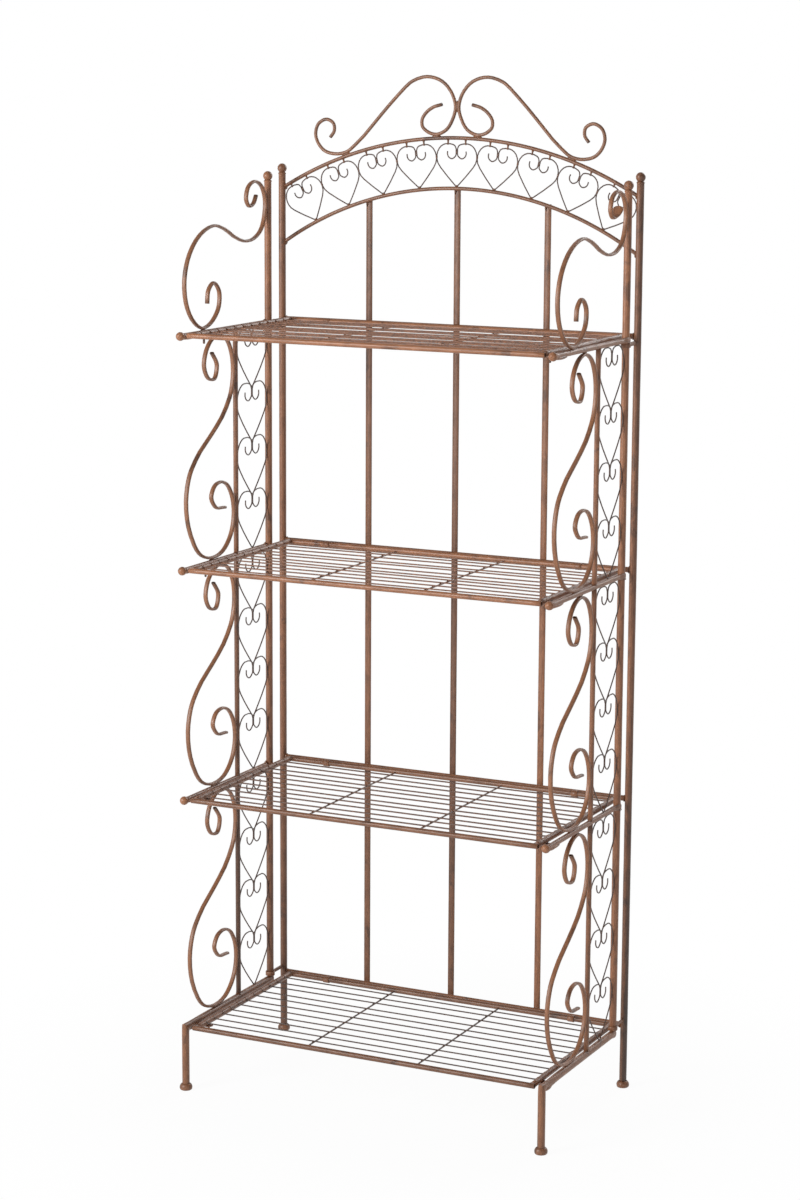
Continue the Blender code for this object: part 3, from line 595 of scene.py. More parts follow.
class Nodes:
    """Short calls for the nodes of a material or a world."""

    def __init__(self, owner):
        owner.use_nodes = True
        self.tree = owner.node_tree

    def put(self, socket, value):
        if isinstance(value, bpy.types.NodeSocket):
            self.tree.links.new(value, socket)
        else:
            socket.default_value = value

    def node(self, kind, inputs=(), **settings):
        node = self.tree.nodes.new("ShaderNode" + kind)
        for name, value in settings.items():
            setattr(node, name, value)
        for name, value in dict(inputs).items():
            self.put(node.inputs[name], value)
        return node

    def attribute(self, name, output):
        return self.node("Attribute", attribute_name=name).outputs[output]

    def noise(self, vector, *settings):
        """Noise of this scale, detail, roughness and distortion."""
        inputs = dict(zip(("Vector", "Scale", "Detail", "Roughness", "Distortion"), (vector, *settings)))
        return self.node("TexNoise", inputs).outputs["Fac"]

    def spread(self, value, low, high, out_low=0.0, out_high=1.0):
        inputs = {"Value": value, "From Min": low, "From Max": high, "To Min": out_low, "To Max": out_high}
        return self.node("MapRange", inputs).outputs["Result"]

    def maths(self, operation, a, b=0.0):
        return self.node("Math", {0: a, 1: b}, operation=operation).outputs[0]

    def stretch(self, rod, along):
        inputs = {0: rod, 1: (1, 1, along)}
        return self.node("VectorMath", inputs, operation="MULTIPLY").outputs[0]

    def rays(self):
        return self.node("LightPath").outputs

    def seen(self, rays):
        """1 for rays that see the room itself, directly, in a reflection or through glass."""
        seen = self.maths("MAXIMUM", rays["Is Camera Ray"], rays["Is Glossy Ray"])
        return self.maths("MAXIMUM", seen, rays["Is Transmission Ray"])

    def cover(self, output, factor, a, b):
        """Sends a mix of two shaders to the output."""
        mixed = self.node("MixShader", {0: factor, 1: a.outputs[0], 2: b.outputs[0]})
        self.put(self.tree.nodes[output].inputs["Surface"], mixed.outputs[0])

    def mix(self, factor, a, b, blend="MIX"):
        node = self.node("Mix", {0: factor, 6: a, 7: b}, data_type="RGBA", blend_type=blend)
        return node.outputs[2]


def paint(name, base, deep, pale, weld, streaks=1):
    """Rust-brown paint: streaks along the rod, soft clouds, a few dark patches and a grain."""
    material = bpy.data.materials.new(name)
    n = Nodes(material)
    rod = n.attribute("rod", "Vector")
    place = n.node("TexCoord").outputs["Object"]
    streak = n.noise(n.stretch(rod, 0.07), 420, 3, 0.6, 0.3)
    cloud = n.noise(n.stretch(rod, 0.4), 70, 4, 0.6, 0.6)
    patch = n.noise(n.stretch(rod, 0.6), 24, 5, 0.62, 0.8)
    mottle = n.noise(place, 230, 3, 0.6, 0.5)
    grain = n.noise(place, 1250, 2, 0.5)

    base, deep, pale, weld = ((*colour, 1) for colour in (base, deep, pale, weld))
    colour = n.mix(n.spread(mottle, 0.28, 0.72), base, pale)
    colour = n.mix(n.spread(cloud, 0.46, 0.72, 0, 0.45), colour, deep)
    colour = n.mix(n.spread(streak, 0.5, 0.72, 0, 0.55 * streaks), colour, deep)
    colour = n.mix(n.spread(patch, 0.575, 0.65, 0, 0.72 * streaks), colour, deep)
    colour = n.mix(n.attribute("bare", "Fac"), colour, n.mix(n.spread(mottle, 0.35, 0.65), weld, pale))
    speck = n.spread(grain, 0.3, 0.7, 0.9, 1.09)
    # Darkens the colour by stains and by painted shade in hollows, creases and on shaded sides
    shade = n.maths("MULTIPLY", speck, n.spread(n.attribute("stain", "Fac"), *DARKENING_TO_COLOUR_SCALE))
    grey = n.node("CombineXYZ", {0: shade, 1: shade, 2: shade}).outputs[0]
    colour = n.mix(1, colour, grey, "MULTIPLY")

    cloudy = n.spread(cloud, 0.3, 0.7, PAINT_ROUGHNESS - 0.05, PAINT_ROUGHNESS + 0.1)
    relief = n.maths("ADD", n.maths("MULTIPLY", mottle, 0.4), n.maths("MULTIPLY", grain, 0.2))
    relief = n.maths("ADD", relief, n.maths("MULTIPLY", streak, 0.3))
    bump = n.node("Bump", {"Height": relief, "Strength": 0.15, "Distance": 0.0006})
    settings = {
        "Base Color": colour,
        "Roughness": n.maths("ADD", cloudy, n.spread(grain, 0.3, 0.7, -0.03, 0.05)),
        "Metallic": 0,
        "Specular IOR Level": 0.5,
        "Coat Weight": 0.32,
        "Coat Roughness": 0.4,
        "Normal": bump.outputs[0],
    }
    for name, value in settings.items():
        n.put(n.tree.nodes["Principled BSDF"].inputs[name], value)
    return material


# Base, deep, pale and weld colours, and how strong the streaks are
COLOURS = {
    "rust_brown": ((0.222, 0.087, 0.037), (0.062, 0.024, 0.011), (0.272, 0.113, 0.051), (0.16, 0.066, 0.03)),
    "rust_light": ((0.262, 0.105, 0.045), (0.076, 0.03, 0.013), (0.318, 0.135, 0.061), (0.18, 0.074, 0.034)),
    "rust_dark": ((0.208, 0.083, 0.036), (0.06, 0.024, 0.011), (0.255, 0.107, 0.049), (0.14, 0.058, 0.027)),
    "wire_brown": (
        (0.052, 0.022, 0.012), (0.018, 0.008, 0.005), (0.088, 0.037, 0.019), (0.215, 0.083, 0.034), 0.6
    ),
}
PAINTS = {name: paint(name + "_look", *values) for name, values in COLOURS.items()}


# Back frame

def ball_on_tube(radius, ball, centre):
    """The profile of a tube's top: a collar, a crease and a ball."""
    profile = [(radius * share, centre + height / 1000) for share, height in COLLAR]
    first = math.pi - math.asin(radius * NECK / ball)
    for angle in line(first, BALL_TIP, 14)[1:]:
        profile.append((ball * math.sin(angle), centre + ball * math.cos(angle)))
    return profile


def ring(look, inner, outer, height, origin, axis, sides=24):
    """A ring about an axis: its wall's rounded section carried all the way round."""
    half = height / 2
    section = [
        (inner, half - RING_INNER_EDGE), (inner + RING_INNER_EDGE, half),
        (outer - RING_OUTER_EDGE, half), (outer, half - RING_OUTER_EDGE),
    ]
    section += [(radius, -height) for radius, height in reversed(section)]
    across, upward = square_to(axis)
    loops, rod = [], []
    for angle in line(0, math.tau, sides, endpoint=False):
        cosine, sine = math.cos(angle), math.sin(angle)
        out = cosine * across + sine * upward
        loops.append([np.asarray(origin) + height * unit(axis) + radius * out for radius, height in section])
        rod.append([(radius * cosine, radius * sine, height) for radius, height in section])
    look.wrapped(loops, rod, 0.0)


def post(look, x, y, bottom, centre, darkening, right_shade=0.0):
    """A tube with a ball on top; the last argument is a painted shade, how much darker its right-hand side
    is.
    """
    profile = [(POST_RADIUS * 0.9, bottom)]
    for height in line(bottom + 0.001, centre + COLLAR_LOW, 60)[:-1]:
        profile.append((POST_RADIUS * (1 + look.chance.uniform(-POST_WAVER, POST_WAVER)), height))
    profile += ball_on_tube(POST_RADIUS, FINIAL_RADIUS, centre)
    stain = np.interp([height for _, height in profile], DARKENING_HEIGHTS, darkening)
    # Painted shade in the crease under the ball
    stain[np.abs([radius - POST_RADIUS * NECK for radius, _ in profile]) < 1e-6] = CREASE_SHADE
    look.turned(profile, (x, y, 0), sides=20, stain=stain)
    # Painted shade down the right-hand side of the tube
    look.stain = [dark + right_shade * (at[0] > x + POST_RADIUS * 0.3) for dark, at in zip(look.stain, look.points)]


def foot(look, x, y):
    profile = [(radius / 1000, height / 1000) for radius, height, _ in FOOT]
    # Painted shade down in the socket and under the sole
    look.turned(profile, (x, y, 0), sides=28, stain=[stain for _, _, stain in FOOT])


def back_rail(look, number):
    level = shelf_level(number)
    reach = POST_X - POST_RADIUS - GAP
    look.sweep(line((-reach, BACK_Y, level), (reach, BACK_Y, level), 36), BACK_RAIL_RADIUS, ROD_SIDES, UP)
    inner = SHELF_RAIL_RADIUS + PIVOT_CLEARANCE
    outer = inner + EYE_WALL
    for side in (-1, 1):
        look.bead((side * (reach - 0.0008), BACK_Y, level), (2.4, 6.2, 6.4), ACROSS, UP)
        ring(look, inner, outer, EYE_LENGTH, (side * EYE_SETTING, PIVOT_Y, level), ACROSS)
        weld_y = (PIVOT_Y + outer + BACK_Y - BACK_RAIL_RADIUS) / 2 + 0.0008
        for up in (-1, 1):
            at = (side * EYE_SETTING, weld_y, level + up * 0.0036)
            look.bead(at, (5.2, 2, 1.5), ACROSS, UP, 0.1, 0.3)


def slat(look, side):
    x = side * SLAT_SPACING
    top = LOWER_ARCH.height(x) + SLAT_LAP
    y = BACK_Y + BACK_RAIL_RADIUS + GAP + SLAT_THICKNESS / 2
    heights = line(shelf_level(0) - BACK_RAIL_RADIUS, top, 70)
    flat, deep = SLAT_WIDTH / 2 - SLAT_CORNER, SLAT_THICKNESS / 2 - SLAT_CORNER
    bend = SLAT_CORNER * np.array([(math.cos(a), math.sin(a)) for a in np.radians((20, 70))])
    corner = (flat, deep) + bend
    half = np.vstack([corner, corner[::-1] * (-1, 1)])
    across, out = np.vstack([half, -half]).T
    rings = []
    for height in heights:
        wide = 1 + look.chance.uniform(-SLAT_WAVER, SLAT_WAVER)
        rings.append(np.column_stack([x + across * wide, y + out, np.full(len(out), height)]))
    rings = np.array(rings)
    rod = rings - (x, y, look.chance.uniform(0, PATTERN_SPAN))
    darkening = np.interp(heights, DARKENING_HEIGHTS, SLAT_DARKENING[side])
    look.rings(rings, rod, np.where(heights > top - SLAT_END, SLAT_END_STAIN, darkening))
    at = (x - 0.004, y - 0.002, LOWER_ARCH.height(x - 0.004) - 0.0045)
    look.bead(at, (6, 1.6, 2.2), UP, DEEP, SLAT_END_STAIN)
    for number in range(len(LEVELS)):
        at = (x, y - 0.0012, shelf_level(number) + BACK_RAIL_RADIUS * 0.75)
        look.bead(at, (4.8, 1.3, 1.3), ACROSS, DEEP, 0.5)


def arch(look, shape, welds):
    path = in_back_plane(shape.path(110))
    look.sweep(path, ARCH_RADIUS, ROD_SIDES, DEEP, stain=ARCH_STAIN)
    for side in (-1, 1):
        look.bead(path[-1 if side > 0 else 0] - (side * 0.0036, 0, 0), (2.6, 5, 5.2), ACROSS, UP)
    for x in welds:
        look.bead((x, ARCH_Y + 0.0032, shape.height(x) - 0.003), (4, 1.6, 1.3), ACROSS, DEEP, 0.5)


ROOM_BETWEEN_ARCHES = UPPER_ARCH.height(0) - LOWER_ARCH.height(0) - 2 * ARCH_RADIUS
ARCH_HEART_HEIGHT = ROOM_BETWEEN_ARCHES - GAP - HEART_WIRE_RADIUS - TICK_ROOM
ARCH_HEART_FOOT = LOWER_ARCH.radius + ARCH_RADIUS + GAP + HEART_WIRE_RADIUS


def arch_heart_half_width(pitch):
    widest = ARCH_HEART_FOOT + HEART_WIDEST * ARCH_HEART_HEIGHT
    return widest * math.tan(pitch / 2) - HEART_WIRE_RADIUS + HEART_WELD / 2


def arch_heart(pitch, index):
    """The path of one arch heart in the back plane, and the frame that it stands in."""
    angle = pitch * (index - (ARCH_HEARTS - 1) / 2)
    outward = np.array((math.sin(angle), math.cos(angle)))
    along = np.array((math.cos(angle), -math.sin(angle)))
    point = LOWER_ARCH.centre + ARCH_HEART_FOOT * outward
    shape = heart(arch_heart_half_width(pitch), ARCH_HEART_HEIGHT)
    return point + shape[:, :1] * along + shape[:, 1:] * outward, point, along, outward


def arch_heart_pitch():
    """The angle between hearts that makes the last one touch the post."""
    reach = POST_X - POST_RADIUS - GAP - HEART_WIRE_RADIUS
    low, high = 0.0, 2 * LOWER_ARCH.angle(POST_X) / ARCH_HEARTS
    for _ in range(30):
        middle = (low + high) / 2
        if arch_heart(middle, ARCH_HEARTS - 1)[0][:, 0].max() > reach:
            high = middle
        else:
            low = middle
    return low


def arch_hearts(look):
    pitch = arch_heart_pitch()
    half_width = arch_heart_half_width(pitch)
    inside = UPPER_ARCH.radius - ARCH_RADIUS * 0.8
    for index in range(ARCH_HEARTS):
        path, point, along, outward = arch_heart(pitch, index)
        along_row, outward_row = to_back(along, 0), to_back(outward, 0)
        look.sweep(in_back_plane(path), HEART_WIRE_LOOK_RADIUS, WIRE_SIDES, DEEP)
        look.bead(to_back(point - outward * 0.0004), (3.4, 1.6, 1.7), along_row, DEEP, 0.2)
        lobes = point + outward * ARCH_HEART_HEIGHT * LOBE_WELD_UP
        look.bead(to_back(lobes), (4, 1.3, 1.3), outward_row, DEEP, 0.3)
        for side in (-1, 1):
            lobe_top = point + along * side * LOBE_TOP * half_width + outward * (ARCH_HEART_HEIGHT - 0.0004)
            reach = lobe_top - UPPER_ARCH.centre
            ahead = reach @ outward
            run = -ahead + math.sqrt(ahead**2 - reach @ reach + inside**2)
            tick = in_back_plane([lobe_top, lobe_top + outward * run * 0.5, lobe_top + outward * run])
            look.sweep(tick, [TICK_RADIUS * share for share in TICK_SHAPE], WIRE_SIDES, DEEP, bare=1.0)
            look.bead(to_back(lobe_top), (2.6, 1.5, 1.6), along_row, DEEP, 0.2)
        if index:
            side_point = point - along * (half_width + 0.0005) + outward * HEART_WIDEST * ARCH_HEART_HEIGHT
            look.bead(to_back(side_point), (3.6, 1.9, 1.8), outward_row, DEEP, 0.15)


def crest_path():
    """A crest scroll shifted and tilted until its inner and outer curls both rest on the upper arch."""
    path = bent_rod(CREST_SCROLL, CREST_WIDTH - CREST_RADIUS, CREST_HEIGHT)
    path = path + (CREST_RADIUS + GAP / 2, UPPER_ARCH.height(0))
    stand = ARCH_RADIUS + CREST_RADIUS + GAP
    inner_half = path[:, 0] < CREST_WIDTH / 2
    for _ in range(6):
        clear = UPPER_ARCH.clear_of(path)
        inner = np.where(inner_half, clear, np.inf).argmin()
        outer = np.where(inner_half, np.inf, clear).argmin()
        slope = (clear[inner] - clear[outer]) / (path[outer, 0] - path[inner, 0])
        path[:, 1] += stand - clear[inner] + slope * (path[:, 0] - path[inner, 0])
    return path, inner, outer


def crest_scroll(look, side):
    path, inner, outer = crest_path()
    world = in_back_plane(path * (side, 1))
    stain = dark_ends(path, CREST_STAIN)
    look.sweep(world, CREST_RADIUS, ROD_SIDES, DEEP, ("open", "open"), stain=stain)
    for index in (inner, outer):
        away = unit(path[index] - UPPER_ARCH.centre)
        contact = path[index] - away * CREST_RADIUS
        along = np.array((away[1], -away[0]))
        at = to_back(contact * (side, 1))
        look.bead(at, (8.5, 2.1, 2.7), to_back(along * (side, 1), 0), DEEP, 0.5)
    if side > 0:
        at = to_back((0, path[path[:, 0].argmin(), 1]))
        look.bead(at, (10.5, 2.2, 2.6), UP, DEEP, 0.7)


# Side frames

def tab(look, side, number):
    """A lock tab: a rounded strip under a side bar, with the hole for a shelf's pin."""
    inward = POST_X - SHELF_HALF
    half = TAB_WIDTH / 2
    top = shelf_level(number) - SHELF_RAIL_RADIUS - GAP
    low = top - TAB_THICKNESS
    arc = np.radians(line(-90, 90, 13))
    cap = half * np.column_stack([np.cos(arc), np.sin(arc)])
    outline = np.vstack([(inward, 0) + cap, (-TAB_TAIL, 0) - cap])
    outline[:, 0] = np.maximum(outline[:, 0], -bar_radius(number) if number else -BASE_TAB_END)
    bearing = np.arctan2(outline[:, 1], outline[:, 0] - inward)
    hole = (inward, 0) + PIN_HOLE_RADIUS * np.column_stack([np.cos(bearing), np.sin(bearing)])
    middle = np.array((inward / 2 - TAB_TAIL / 2, 0.0))
    slim = middle + (outline - middle) * (1 - TAB_EDGE / half)
    levels = [(outline, low + TAB_EDGE), (outline, top - TAB_EDGE)]
    levels += [(slim, top), (hole, top), (hole, low), (slim, low)]
    loops = [[(side * (POST_X - a), PIN_Y + b, height) for a, b in shape] for shape, height in levels]
    rod = [[(a, height, b) for a, b in shape] for shape, height in levels]
    # Painted shade in the pin hole and on the underside
    look.wrapped(loops, rod, np.repeat(TAB_STAIN_AND_SHADE, len(outline)))


def side_bar(look, side, number):
    level = LEVELS[number]
    ball = FRONT_Y + BAR_BALL_SETBACK
    radius = BAR_LOOK_RADIUS
    rear = line(UPRIGHT_Y + BAR_LAP, UPRIGHT_Y - 0.02, 10)
    ys = np.append(rear, line(UPRIGHT_Y - 0.026, ball - COLLAR_LOW, 36))
    start, length = BAR_CRIMP
    crimp = eased((ys - (UPRIGHT_Y - start)) / length)
    knob = np.array(ball_on_tube(radius, BAR_BALL_RADIUS, 0.0)[1:])
    radii = np.append([radius] * len(ys), knob[:, 0])
    ys = np.append(ys, ball - knob[:, 1])
    crimp = np.append(crimp, np.zeros(len(knob)))
    xs = side * (POST_X + crimp * (POST_RADIUS + 0.0004 - radius * 0.45))
    path = np.column_stack([xs, ys, np.full(len(ys), level)])
    thin, tall = BAR_CRIMP_SCALE
    scale = np.column_stack([1 + thin * crimp, 1 + tall * crimp])
    neck = np.abs(radii - radius * NECK) < 1e-6
    # Painted shade in the crease under the ball; elsewhere darker crimps, and lighter towards the top bar
    stain = np.where(neck, CREASE_SHADE, CRIMP_STAIN * crimp - SIDE_BAR_LIGHTENING[number - 1])
    stain[ys < ball + BAR_BALL_RADIUS * 0.7] = BAR_BALL_STAIN
    look.sweep(path, radii, BAR_SIDES, scale=scale, stain=stain)
    x = side * POST_X
    at = (x + side * POST_RADIUS, UPRIGHT_Y, level - radius * 1.1)
    look.bead(at, (5.5, 1.8, 1.6), DEEP, UP, 0.5)
    tab(look, side, number)
    lobe = (x + side * 0.0006, PIN_Y - 0.012, level - radius + 0.0006)
    look.bead(lobe, (26, 5, 3.4), DEEP, UP, -0.2, 0.0, 0.05, (13, 14))


def base_leg(look, side):
    x = side * POST_X
    level = LEVELS[0]
    rear = UPRIGHT_Y + POST_RADIUS
    ys = np.append(line(rear, rear - 0.03, 12), line(rear - 0.036, FRONT_Y + 0.0075, 44))
    start, length = BASE_CRIMP
    to_rear = eased((ys - (rear - start)) / length)
    to_front = np.clip((FRONT_Y + LEG_CRIMP_REACH - ys) / LEG_CRIMP_LENGTH, 0, 1)
    to_front = eased(to_front * np.clip((ys - FRONT_Y) / 0.016, 0.25, 1))
    crimp = np.maximum(to_rear, to_front)
    thin, tall = BASE_CRIMP_SCALE
    path = [(x, y, level - BASE_CRIMP_DROP * flare) for y, flare in zip(ys, crimp)]
    scale = [(1 + thin * flare, 1 + tall * flare) for flare in crimp]
    zs = line(level - LEG_BEND, FOOT_SOCKET_FLOOR + GAP, 16)
    path += [(x, FRONT_Y, level)] + [(x, FRONT_Y, z) for z in zs]
    scale += [LEG_CORNER_SCALE] + [(1, 1)] * len(zs)
    stain = np.full(len(path), LEG_STAIN)
    stain[:len(ys)] = BASE_BAR_DARKENING[side]
    look.sweep(path, BASE_LOOK_RADIUS, BAR_SIDES, scale=scale, stain=stain)
    corner = (x, FRONT_Y + BASE_RADIUS + 0.0012, level - BASE_RADIUS - 0.002)
    look.bead(corner, (4.8, 3, 3.6), (0, 1, -1), UP, 0.3)
    tab(look, side, 0)
    lobe = (x + side * 0.0004, FRONT_Y + 0.02, level - BASE_RADIUS + 0.0012)
    look.bead(lobe, (18, 6.2, 4.6), DEEP, UP, -0.1, 0.0, 0.04, (13, 14))


def bay_between_bars(bay):
    low = LEVELS[bay] + bar_radius(bay) + GAP
    high = LEVELS[bay + 1] - bar_radius(bay + 1) - GAP
    return low, high


def mid_post(look, side, bay):
    low, high = bay_between_bars(bay)
    x = side * POST_X
    rod = line((x, MID_POST_Y, low - 0.001), (x, MID_POST_Y, high + 0.001), 24)
    look.sweep(rod, MID_POST_RADIUS, ROD_SIDES, ACROSS, stain=MID_POST_DARKENING[side][bay])
    for height in (low, high):
        look.bead((x, MID_POST_Y, height), (2, 5.6, 5.2), UP, ACROSS)


def hammered(path):
    """The flatness of a scroll's rod whose first end is beaten thin and wide, with a round tip."""
    run = run_along(path)
    beaten = eased(1 - run / HAMMERED_LENGTH) * np.sqrt(np.clip(0.1 + run / HAMMERED_TIP, 0, 1))
    wide, thin = SCROLL_FLATNESS
    return np.column_stack([wide * (1 + HAMMERED_WIDER * beaten), thin * (1 - HAMMERED_THINNER * beaten)])


def scroll(look, side, bay):
    """The S scroll of a bay, or the one above the top bar, whose inner end is hammered on the right."""
    top = bay == len(LEVELS) - 1
    low = LEVELS[bay] + bar_radius(bay) + GAP
    height = TOP_SCROLL_HEIGHT if top else bay_between_bars(bay)[1] - low - 2 * SCROLL_RADIUS
    rear = (UPRIGHT_Y - POST_RADIUS if top else MID_POST_Y - MID_POST_RADIUS) - GAP - SCROLL_RADIUS
    path = bent_rod(TOP_SCROLL if top else BAY_SCROLL, rear - (FRONT_Y + SCROLL_FRONT_SETBACK), height)
    ends, scale = ("open", "open"), SCROLL_FLATNESS
    if top and side > 0:
        path = np.vstack([line(path[0], path[1], 5)[:-1], path[1:]])
        ends, scale = ("round", "open"), hammered(path)
    stain = dark_ends(path, SCROLL_DARKENING[side])
    if ends[0] == "round":
        stain[:len(stain) // 2] = 0.0
    world = in_side_plane(path, side, rear, low + SCROLL_RADIUS)
    look.sweep(world, SCROLL_RADIUS, SCROLL_SIDES, ACROSS, ends, scale, stain, square=SCROLL_SQUARE)
    for out in (-1,) if top else (-1, 1):
        index = (path[:, 1] * out).argmax()
        look.bead(world[index] + (0, 0, out * SCROLL_RADIUS), SCROLL_ON_BAR, DEEP, ACROSS)
    upper = path[:, 1] > height / 2
    for half in (True,) if top else (upper, ~upper):
        index = np.where(half, path[:, 0], np.inf).argmin()
        look.bead(world[index] + (0, SCROLL_RADIUS, 0), SCROLL_ON_POST, UP, ACROSS)


def side_hearts(look, side, bay):
    low, high = bay_between_bars(bay)
    rear = UPRIGHT_Y - POST_RADIUS - GAP
    front = MID_POST_Y + MID_POST_RADIUS + GAP
    half_width = (rear - front) / 2 - HEART_WIRE_RADIUS
    clear = high - low - 2 * HEART_WIRE_RADIUS
    height = (clear + (HEARTS_PER_BAY - 1) * HEART_NEST) / HEARTS_PER_BAY
    shape = heart(half_width, height, SIDE_CURL)
    x = side * POST_X
    middle = (rear + front) / 2
    for number in range(HEARTS_PER_BAY):
        bottom = low + HEART_WIRE_RADIUS + number * (height - HEART_NEST)
        look.sweep(in_side_plane(shape, side, middle, bottom), HEART_WIRE_LOOK_RADIUS, WIRE_SIDES)
        for out in (-1, 1):
            at = (x, middle + out * (half_width + 0.0006), bottom + HEART_WIDEST * height)
            look.bead(at, (3.2, 1.6, 1.6), UP, ACROSS, 0.25)
        look.bead((x, middle, bottom + LOBE_WELD_UP * height), (3.6, 1.3, 1.3), UP, ACROSS, 0.3)
        look.bead((x, middle, bottom - 0.0004), (2.8, 1.3, 1.5), DEEP, ACROSS, 0.3)


def frame_hinge(look, side, height):
    inner = POST_RADIUS + PIVOT_CLEARANCE
    x = side * POST_X
    ring(look, inner, inner + HINGE_WALL, HINGE_HEIGHT, (x, UPRIGHT_Y, height), UP, 28)
    near, far = UPRIGHT_Y + inner + HINGE_WALL / 2, BACK_Y - POST_RADIUS - GAP
    path = line((x, near, height), (x, far, height), 8)
    size = (HINGE_ARM_THICKNESS / 2 * 1.1, HINGE_ARM_HEIGHT / 2 * 1.04)
    look.sweep(path, 1.0, scale=size)
    look.bead((x, far - 0.0004, height), (2.2, 4.2, 3), DEEP, ACROSS)


# Shelves

def shelf_frame(look, number):
    level = shelf_level(number)
    darkening = RAIL_DARKENING[number]
    radius = SHELF_RAIL_RADIUS
    front = PIVOT_Y - SHELF_DEPTH
    outer = SIDE_RAIL_X + SIDE_RAIL_RADIUS
    pivot = SHELF_HALF + radius
    for reach, y, end in ((pivot, PIVOT_Y, "flat"), (outer, front, "open")):
        rail = line((-reach, y, level), (reach, y, level), 40)
        look.sweep(rail, radius, ROD_SIDES, UP, (end, end), stain=darkening)
    for side in (-1, 1):
        x = side * SIDE_RAIL_X
        rail = line((x, PIVOT_Y - radius, level), (x, front + radius, level), 26)
        look.sweep(rail, SIDE_RAIL_RADIUS, ROD_SIDES, UP, stain=darkening * SIDE_RAIL_SHARE)
        for y, out in ((front, 1), (PIVOT_Y, -1)):
            at = (x - side * radius * 0.7, y + out * radius * 0.9, level)
            look.bead(at, (5, 2.2, 4), (side, -out, 0), UP)
        x = side * SHELF_HALF
        pin = line((x, PIN_Y, level), (x, PIN_Y, level - radius - GAP - TAB_THICKNESS - PIN_TIP), 10)
        look.sweep(pin, PIN_RADIUS, 10, ACROSS, ("flat", "round"), stain=PIN_STAIN)


def shelf_grid(look, number):
    level = shelf_level(number) + GRID_WIRE_LIFT
    darkening = GRID_DARKENING[number]
    pitch = SHELF_DEPTH / (GRID_WIRES + 1)
    reach = SIDE_RAIL_X - SIDE_RAIL_RADIUS * 0.6
    xs = np.concatenate([line(0, reach - 0.012, 14), line(reach - 0.01, reach, 6)])
    lift = WIRE_END_RISE * np.clip((xs - (reach - 0.006)) / 0.006, 0, 1) ** 2
    for wire in range(1, GRID_WIRES + 1):
        y = PIVOT_Y - pitch * wire + look.chance.uniform(-WIRE_WANDER, WIRE_WANDER)
        half = np.column_stack([xs, np.full(len(xs), y), level + lift])
        path = np.vstack([half[:0:-1] * (-1, 1, 1), half])
        sway = path[:, 0] / reach
        sag, tilt = WIRE_SWAY * look.chance.uniform(-1, 1), WIRE_TILT * look.chance.uniform(-1, 1)
        path[:, 2] += sag * (1 - sway**2) + tilt * sway
        look.sweep(path, GRID_LOOK_RADII[number], WIRE_SIDES, UP, stain=darkening, bare=1.0)
        for side in (-1, 1):
            at = (side * (reach + 0.0006), y, level + 0.0026)
            along, face = (0.8 * side, 0, 0.6), (-0.6 * side, 0, 0.8)
            look.bead(at, (3.6, 2.2, 1.6), along, face, 0.15, 1.0, 0.2, (6, 8))
    drop = (GRID_WIRE_RADIUS + CROSS_WIRE_RADIUS) * 0.8
    for side in (-1, 1):
        x = side * CROSS_WIRE_SPACING / 2
        rear, front = PIVOT_Y - SHELF_RAIL_RADIUS - GAP, PIVOT_Y - SHELF_DEPTH + SHELF_RAIL_RADIUS + GAP
        cross = line((x, rear, level - drop), (x, front, level - drop), 20)
        look.sweep(cross, CROSS_WIRE_LOOK_RADIUS, 10, UP, stain=darkening * 0.8, bare=1.0)
        for wire in range(1, GRID_WIRES + 1):
            at = (x, PIVOT_Y - pitch * wire, level - drop * 0.5)
            look.bead(at, (2.6, 1.7, 1.5), DEEP, UP, darkening * 0.6, 1.0, 0.2, (5, 8))


def build(make, name, slot, *settings, body="frame"):
    """Makes one piece and paints it with its slot's paint."""
    look = Look(name)
    make(look, *settings)
    look.finish(slot, body)


WORDS = {-1: "left", 0: "centre", 1: "right"}
ABOVE_BASE_BAR = LEVELS[0] + BASE_RADIUS + GAP
BELOW_TOP_BAR = LEVELS[-1] - SIDE_BAR_RADIUS - GAP
for side in (-1, 1):
    word, x = WORDS[side], side * POST_X
    back = (x, BACK_Y, FOOT_SOCKET_FLOOR + GAP, POST_BALL, BACK_POST_DARKENING[side], BACK_POST_RIGHT_SHADE[side])
    build(post, f"back_post_{word}", "rust_brown", *back)
    build(foot, f"back_foot_{word}", "rust_dark", x, BACK_Y)
    build(crest_scroll, f"crest_scroll_{word}", "rust_light", side)
    upright = (x, UPRIGHT_Y, ABOVE_BASE_BAR, POST_BALL - UPRIGHT_BALL_DROP, UPRIGHT_DARKENING[side])
    build(post, f"upright_{word}", "rust_brown", *upright)
    build(base_leg, f"base_leg_{word}", "rust_light", side)
    build(foot, f"front_foot_{word}", "rust_dark", x, FRONT_Y)
    for bay in range(3):
        tag = f"{word}_{bay + 1}"
        build(side_bar, f"side_bar_{tag}", "rust_light", side, bay + 1)
        build(mid_post, f"mid_post_{tag}", "rust_brown", side, bay)
        build(scroll, f"side_scroll_{tag}", "rust_light", side, bay)
        build(side_hearts, f"side_hearts_{tag}", "wire_brown", side, bay)
    build(scroll, f"top_scroll_{word}", "rust_light", side, 3)
    build(frame_hinge, f"hinge_{word}_top", "rust_dark", side, BELOW_TOP_BAR - HINGE_HEIGHT / 2)
    build(frame_hinge, f"hinge_{word}_bottom", "rust_dark", side, ABOVE_BASE_BAR + HINGE_HEIGHT / 2)
for side in (-1, 0, 1):
    build(slat, f"back_slat_{WORDS[side]}", "rust_brown", side)
build(arch, "arch_lower", "rust_brown", LOWER_ARCH, (-SLAT_SPACING, 0.0, SLAT_SPACING))
build(arch, "arch_upper", "rust_brown", UPPER_ARCH, ())
build(arch_hearts, "arch_hearts", "wire_brown")
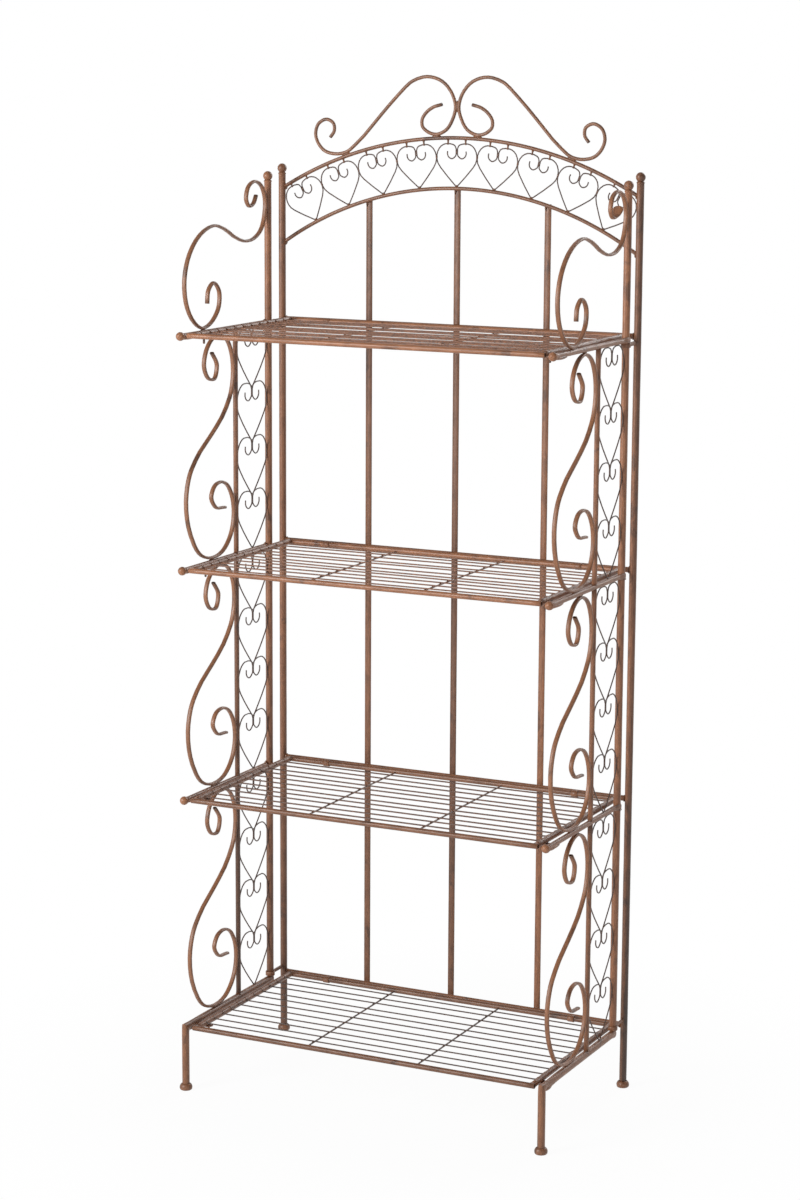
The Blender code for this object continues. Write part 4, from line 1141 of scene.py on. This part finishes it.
for number in range(len(LEVELS)):
    shelf = number + 1
    build(back_rail, f"back_rail_{shelf}", "rust_brown", number)
    build(shelf_frame, f"shelf_frame_{shelf}", "rust_brown", number, body=f"shelf_{shelf}")
    build(shelf_grid, f"shelf_grid_{shelf}", "wire_brown", number, body=f"shelf_{shelf}")


# Floor, light and camera

FLOOR_REACH = 60.0
FLOOR_WHITE = (0.95, 0.95, 0.95, 1)
ROOM_LIGHT = 0.12
# Two places or directions, and how white it is at each
FLOOR_FADE = (0.35, 0.95, 0.95, 1.0)
CEILING_FADE = (0.45, 0.7, 1.0, 0.12)
FRONT_FADE = (-0.2, 0.3, 0.25, 1.0)
# Place, aim, size in metres and power in watts
LAMPS = {
    "key": ((-2.3, -3.9, 2.3), (0, 0, 0.85), 2.0, 204),
    "fill": ((3.0, -3.4, 1.6), (0, 0, 0.85), 2.0, 26),
    "rear": ((0.9, 3.6, 3.0), (0.1, 0, 0.9), 2.4, 62),
    "overhead": ((0.2, 0.2, 3.8), (0, 0, 0.5), 2.4, 10),
}
CAMERA_ANGLES = (26.16, 10.6, 0.3)
CAMERA_PLACE = (2.2266, -4.5635, 1.8461)
CAMERA_LENS = 132.93


def build_floor():
    """A pale floor that takes the unit's shadow and turns to plain white further out."""
    r = FLOOR_REACH
    mesh = bpy.data.meshes.new("floor")
    mesh.from_pydata([(-r, -r, 0), (r, -r, 0), (r, r, 0), (-r, r, 0)], [], [(0, 1, 2, 3)])
    floor = placed("floor", mesh)
    material = bpy.data.materials.new("floor_white")
    n = Nodes(material)
    n.tree.nodes.remove(n.tree.nodes["Principled BSDF"])
    place = n.node("TexCoord").outputs["Object"]
    distance = n.node("VectorMath", {0: place}, operation="LENGTH").outputs["Value"]
    near = n.node("BsdfDiffuse", {"Color": FLOOR_WHITE})
    far = n.node("Emission", {"Color": (1, 1, 1, 1), "Strength": 1.0})
    factor = n.maths("MULTIPLY", n.spread(distance, *FLOOR_FADE), n.seen(n.rays()))
    n.cover("Material Output", factor, near, far)
    mesh.materials.append(material)


def build_world():
    """A white backdrop under a dim ceiling, a dimmer room in front of it, and a soft even light."""
    world = bpy.data.worlds.new("white_room")
    bpy.context.scene.world = world
    n = Nodes(world)
    light = n.tree.nodes["Background"]
    n.put(light.inputs["Color"], (1, 1, 1, 1))
    n.put(light.inputs["Strength"], ROOM_LIGHT)
    place = n.node("TexCoord").outputs["Generated"]
    direction = n.node("SeparateXYZ", {0: place}).outputs
    white = n.spread(direction[2], *CEILING_FADE)
    rays = n.rays()
    strength = n.maths("MAXIMUM", n.spread(direction[1], *FRONT_FADE), rays["Is Camera Ray"])
    room = n.node("Background", {"Color": white, "Strength": strength})
    n.cover("World Output", n.seen(rays), light, room)


def area_light(name, location, target, size, power):
    data = bpy.data.lights.new(name, "AREA")
    data.shape = "DISK"
    data.size = size
    data.energy = power
    lamp = placed(name, data)
    lamp.location = location
    lamp.rotation_euler = (Vector(target) - Vector(location)).to_track_quat("-Z", "Y").to_euler()


def build_camera():
    """A long lens, 5.4 m away, that looks down a little on the unit from its front right."""
    azimuth, elevation, roll = (math.radians(angle) for angle in CAMERA_ANGLES)
    data = bpy.data.cameras.new("camera")
    data.sensor_fit = "HORIZONTAL"
    data.sensor_width = 36.0
    data.lens = CAMERA_LENS
    camera = placed("camera", data)
    camera.matrix_world = (
        Matrix.Translation(CAMERA_PLACE)
        @ Matrix.Rotation(azimuth, 4, "Z")
        @ Matrix.Rotation(math.pi / 2 - elevation, 4, "X")
        @ Matrix.Rotation(roll, 4, "Z")
    )
    bpy.context.scene.camera = camera


build_floor()
build_world()
for name, settings in LAMPS.items():
    area_light(name, *settings)
build_camera()
bpy.context.scene.view_settings.view_transform = "Standard"
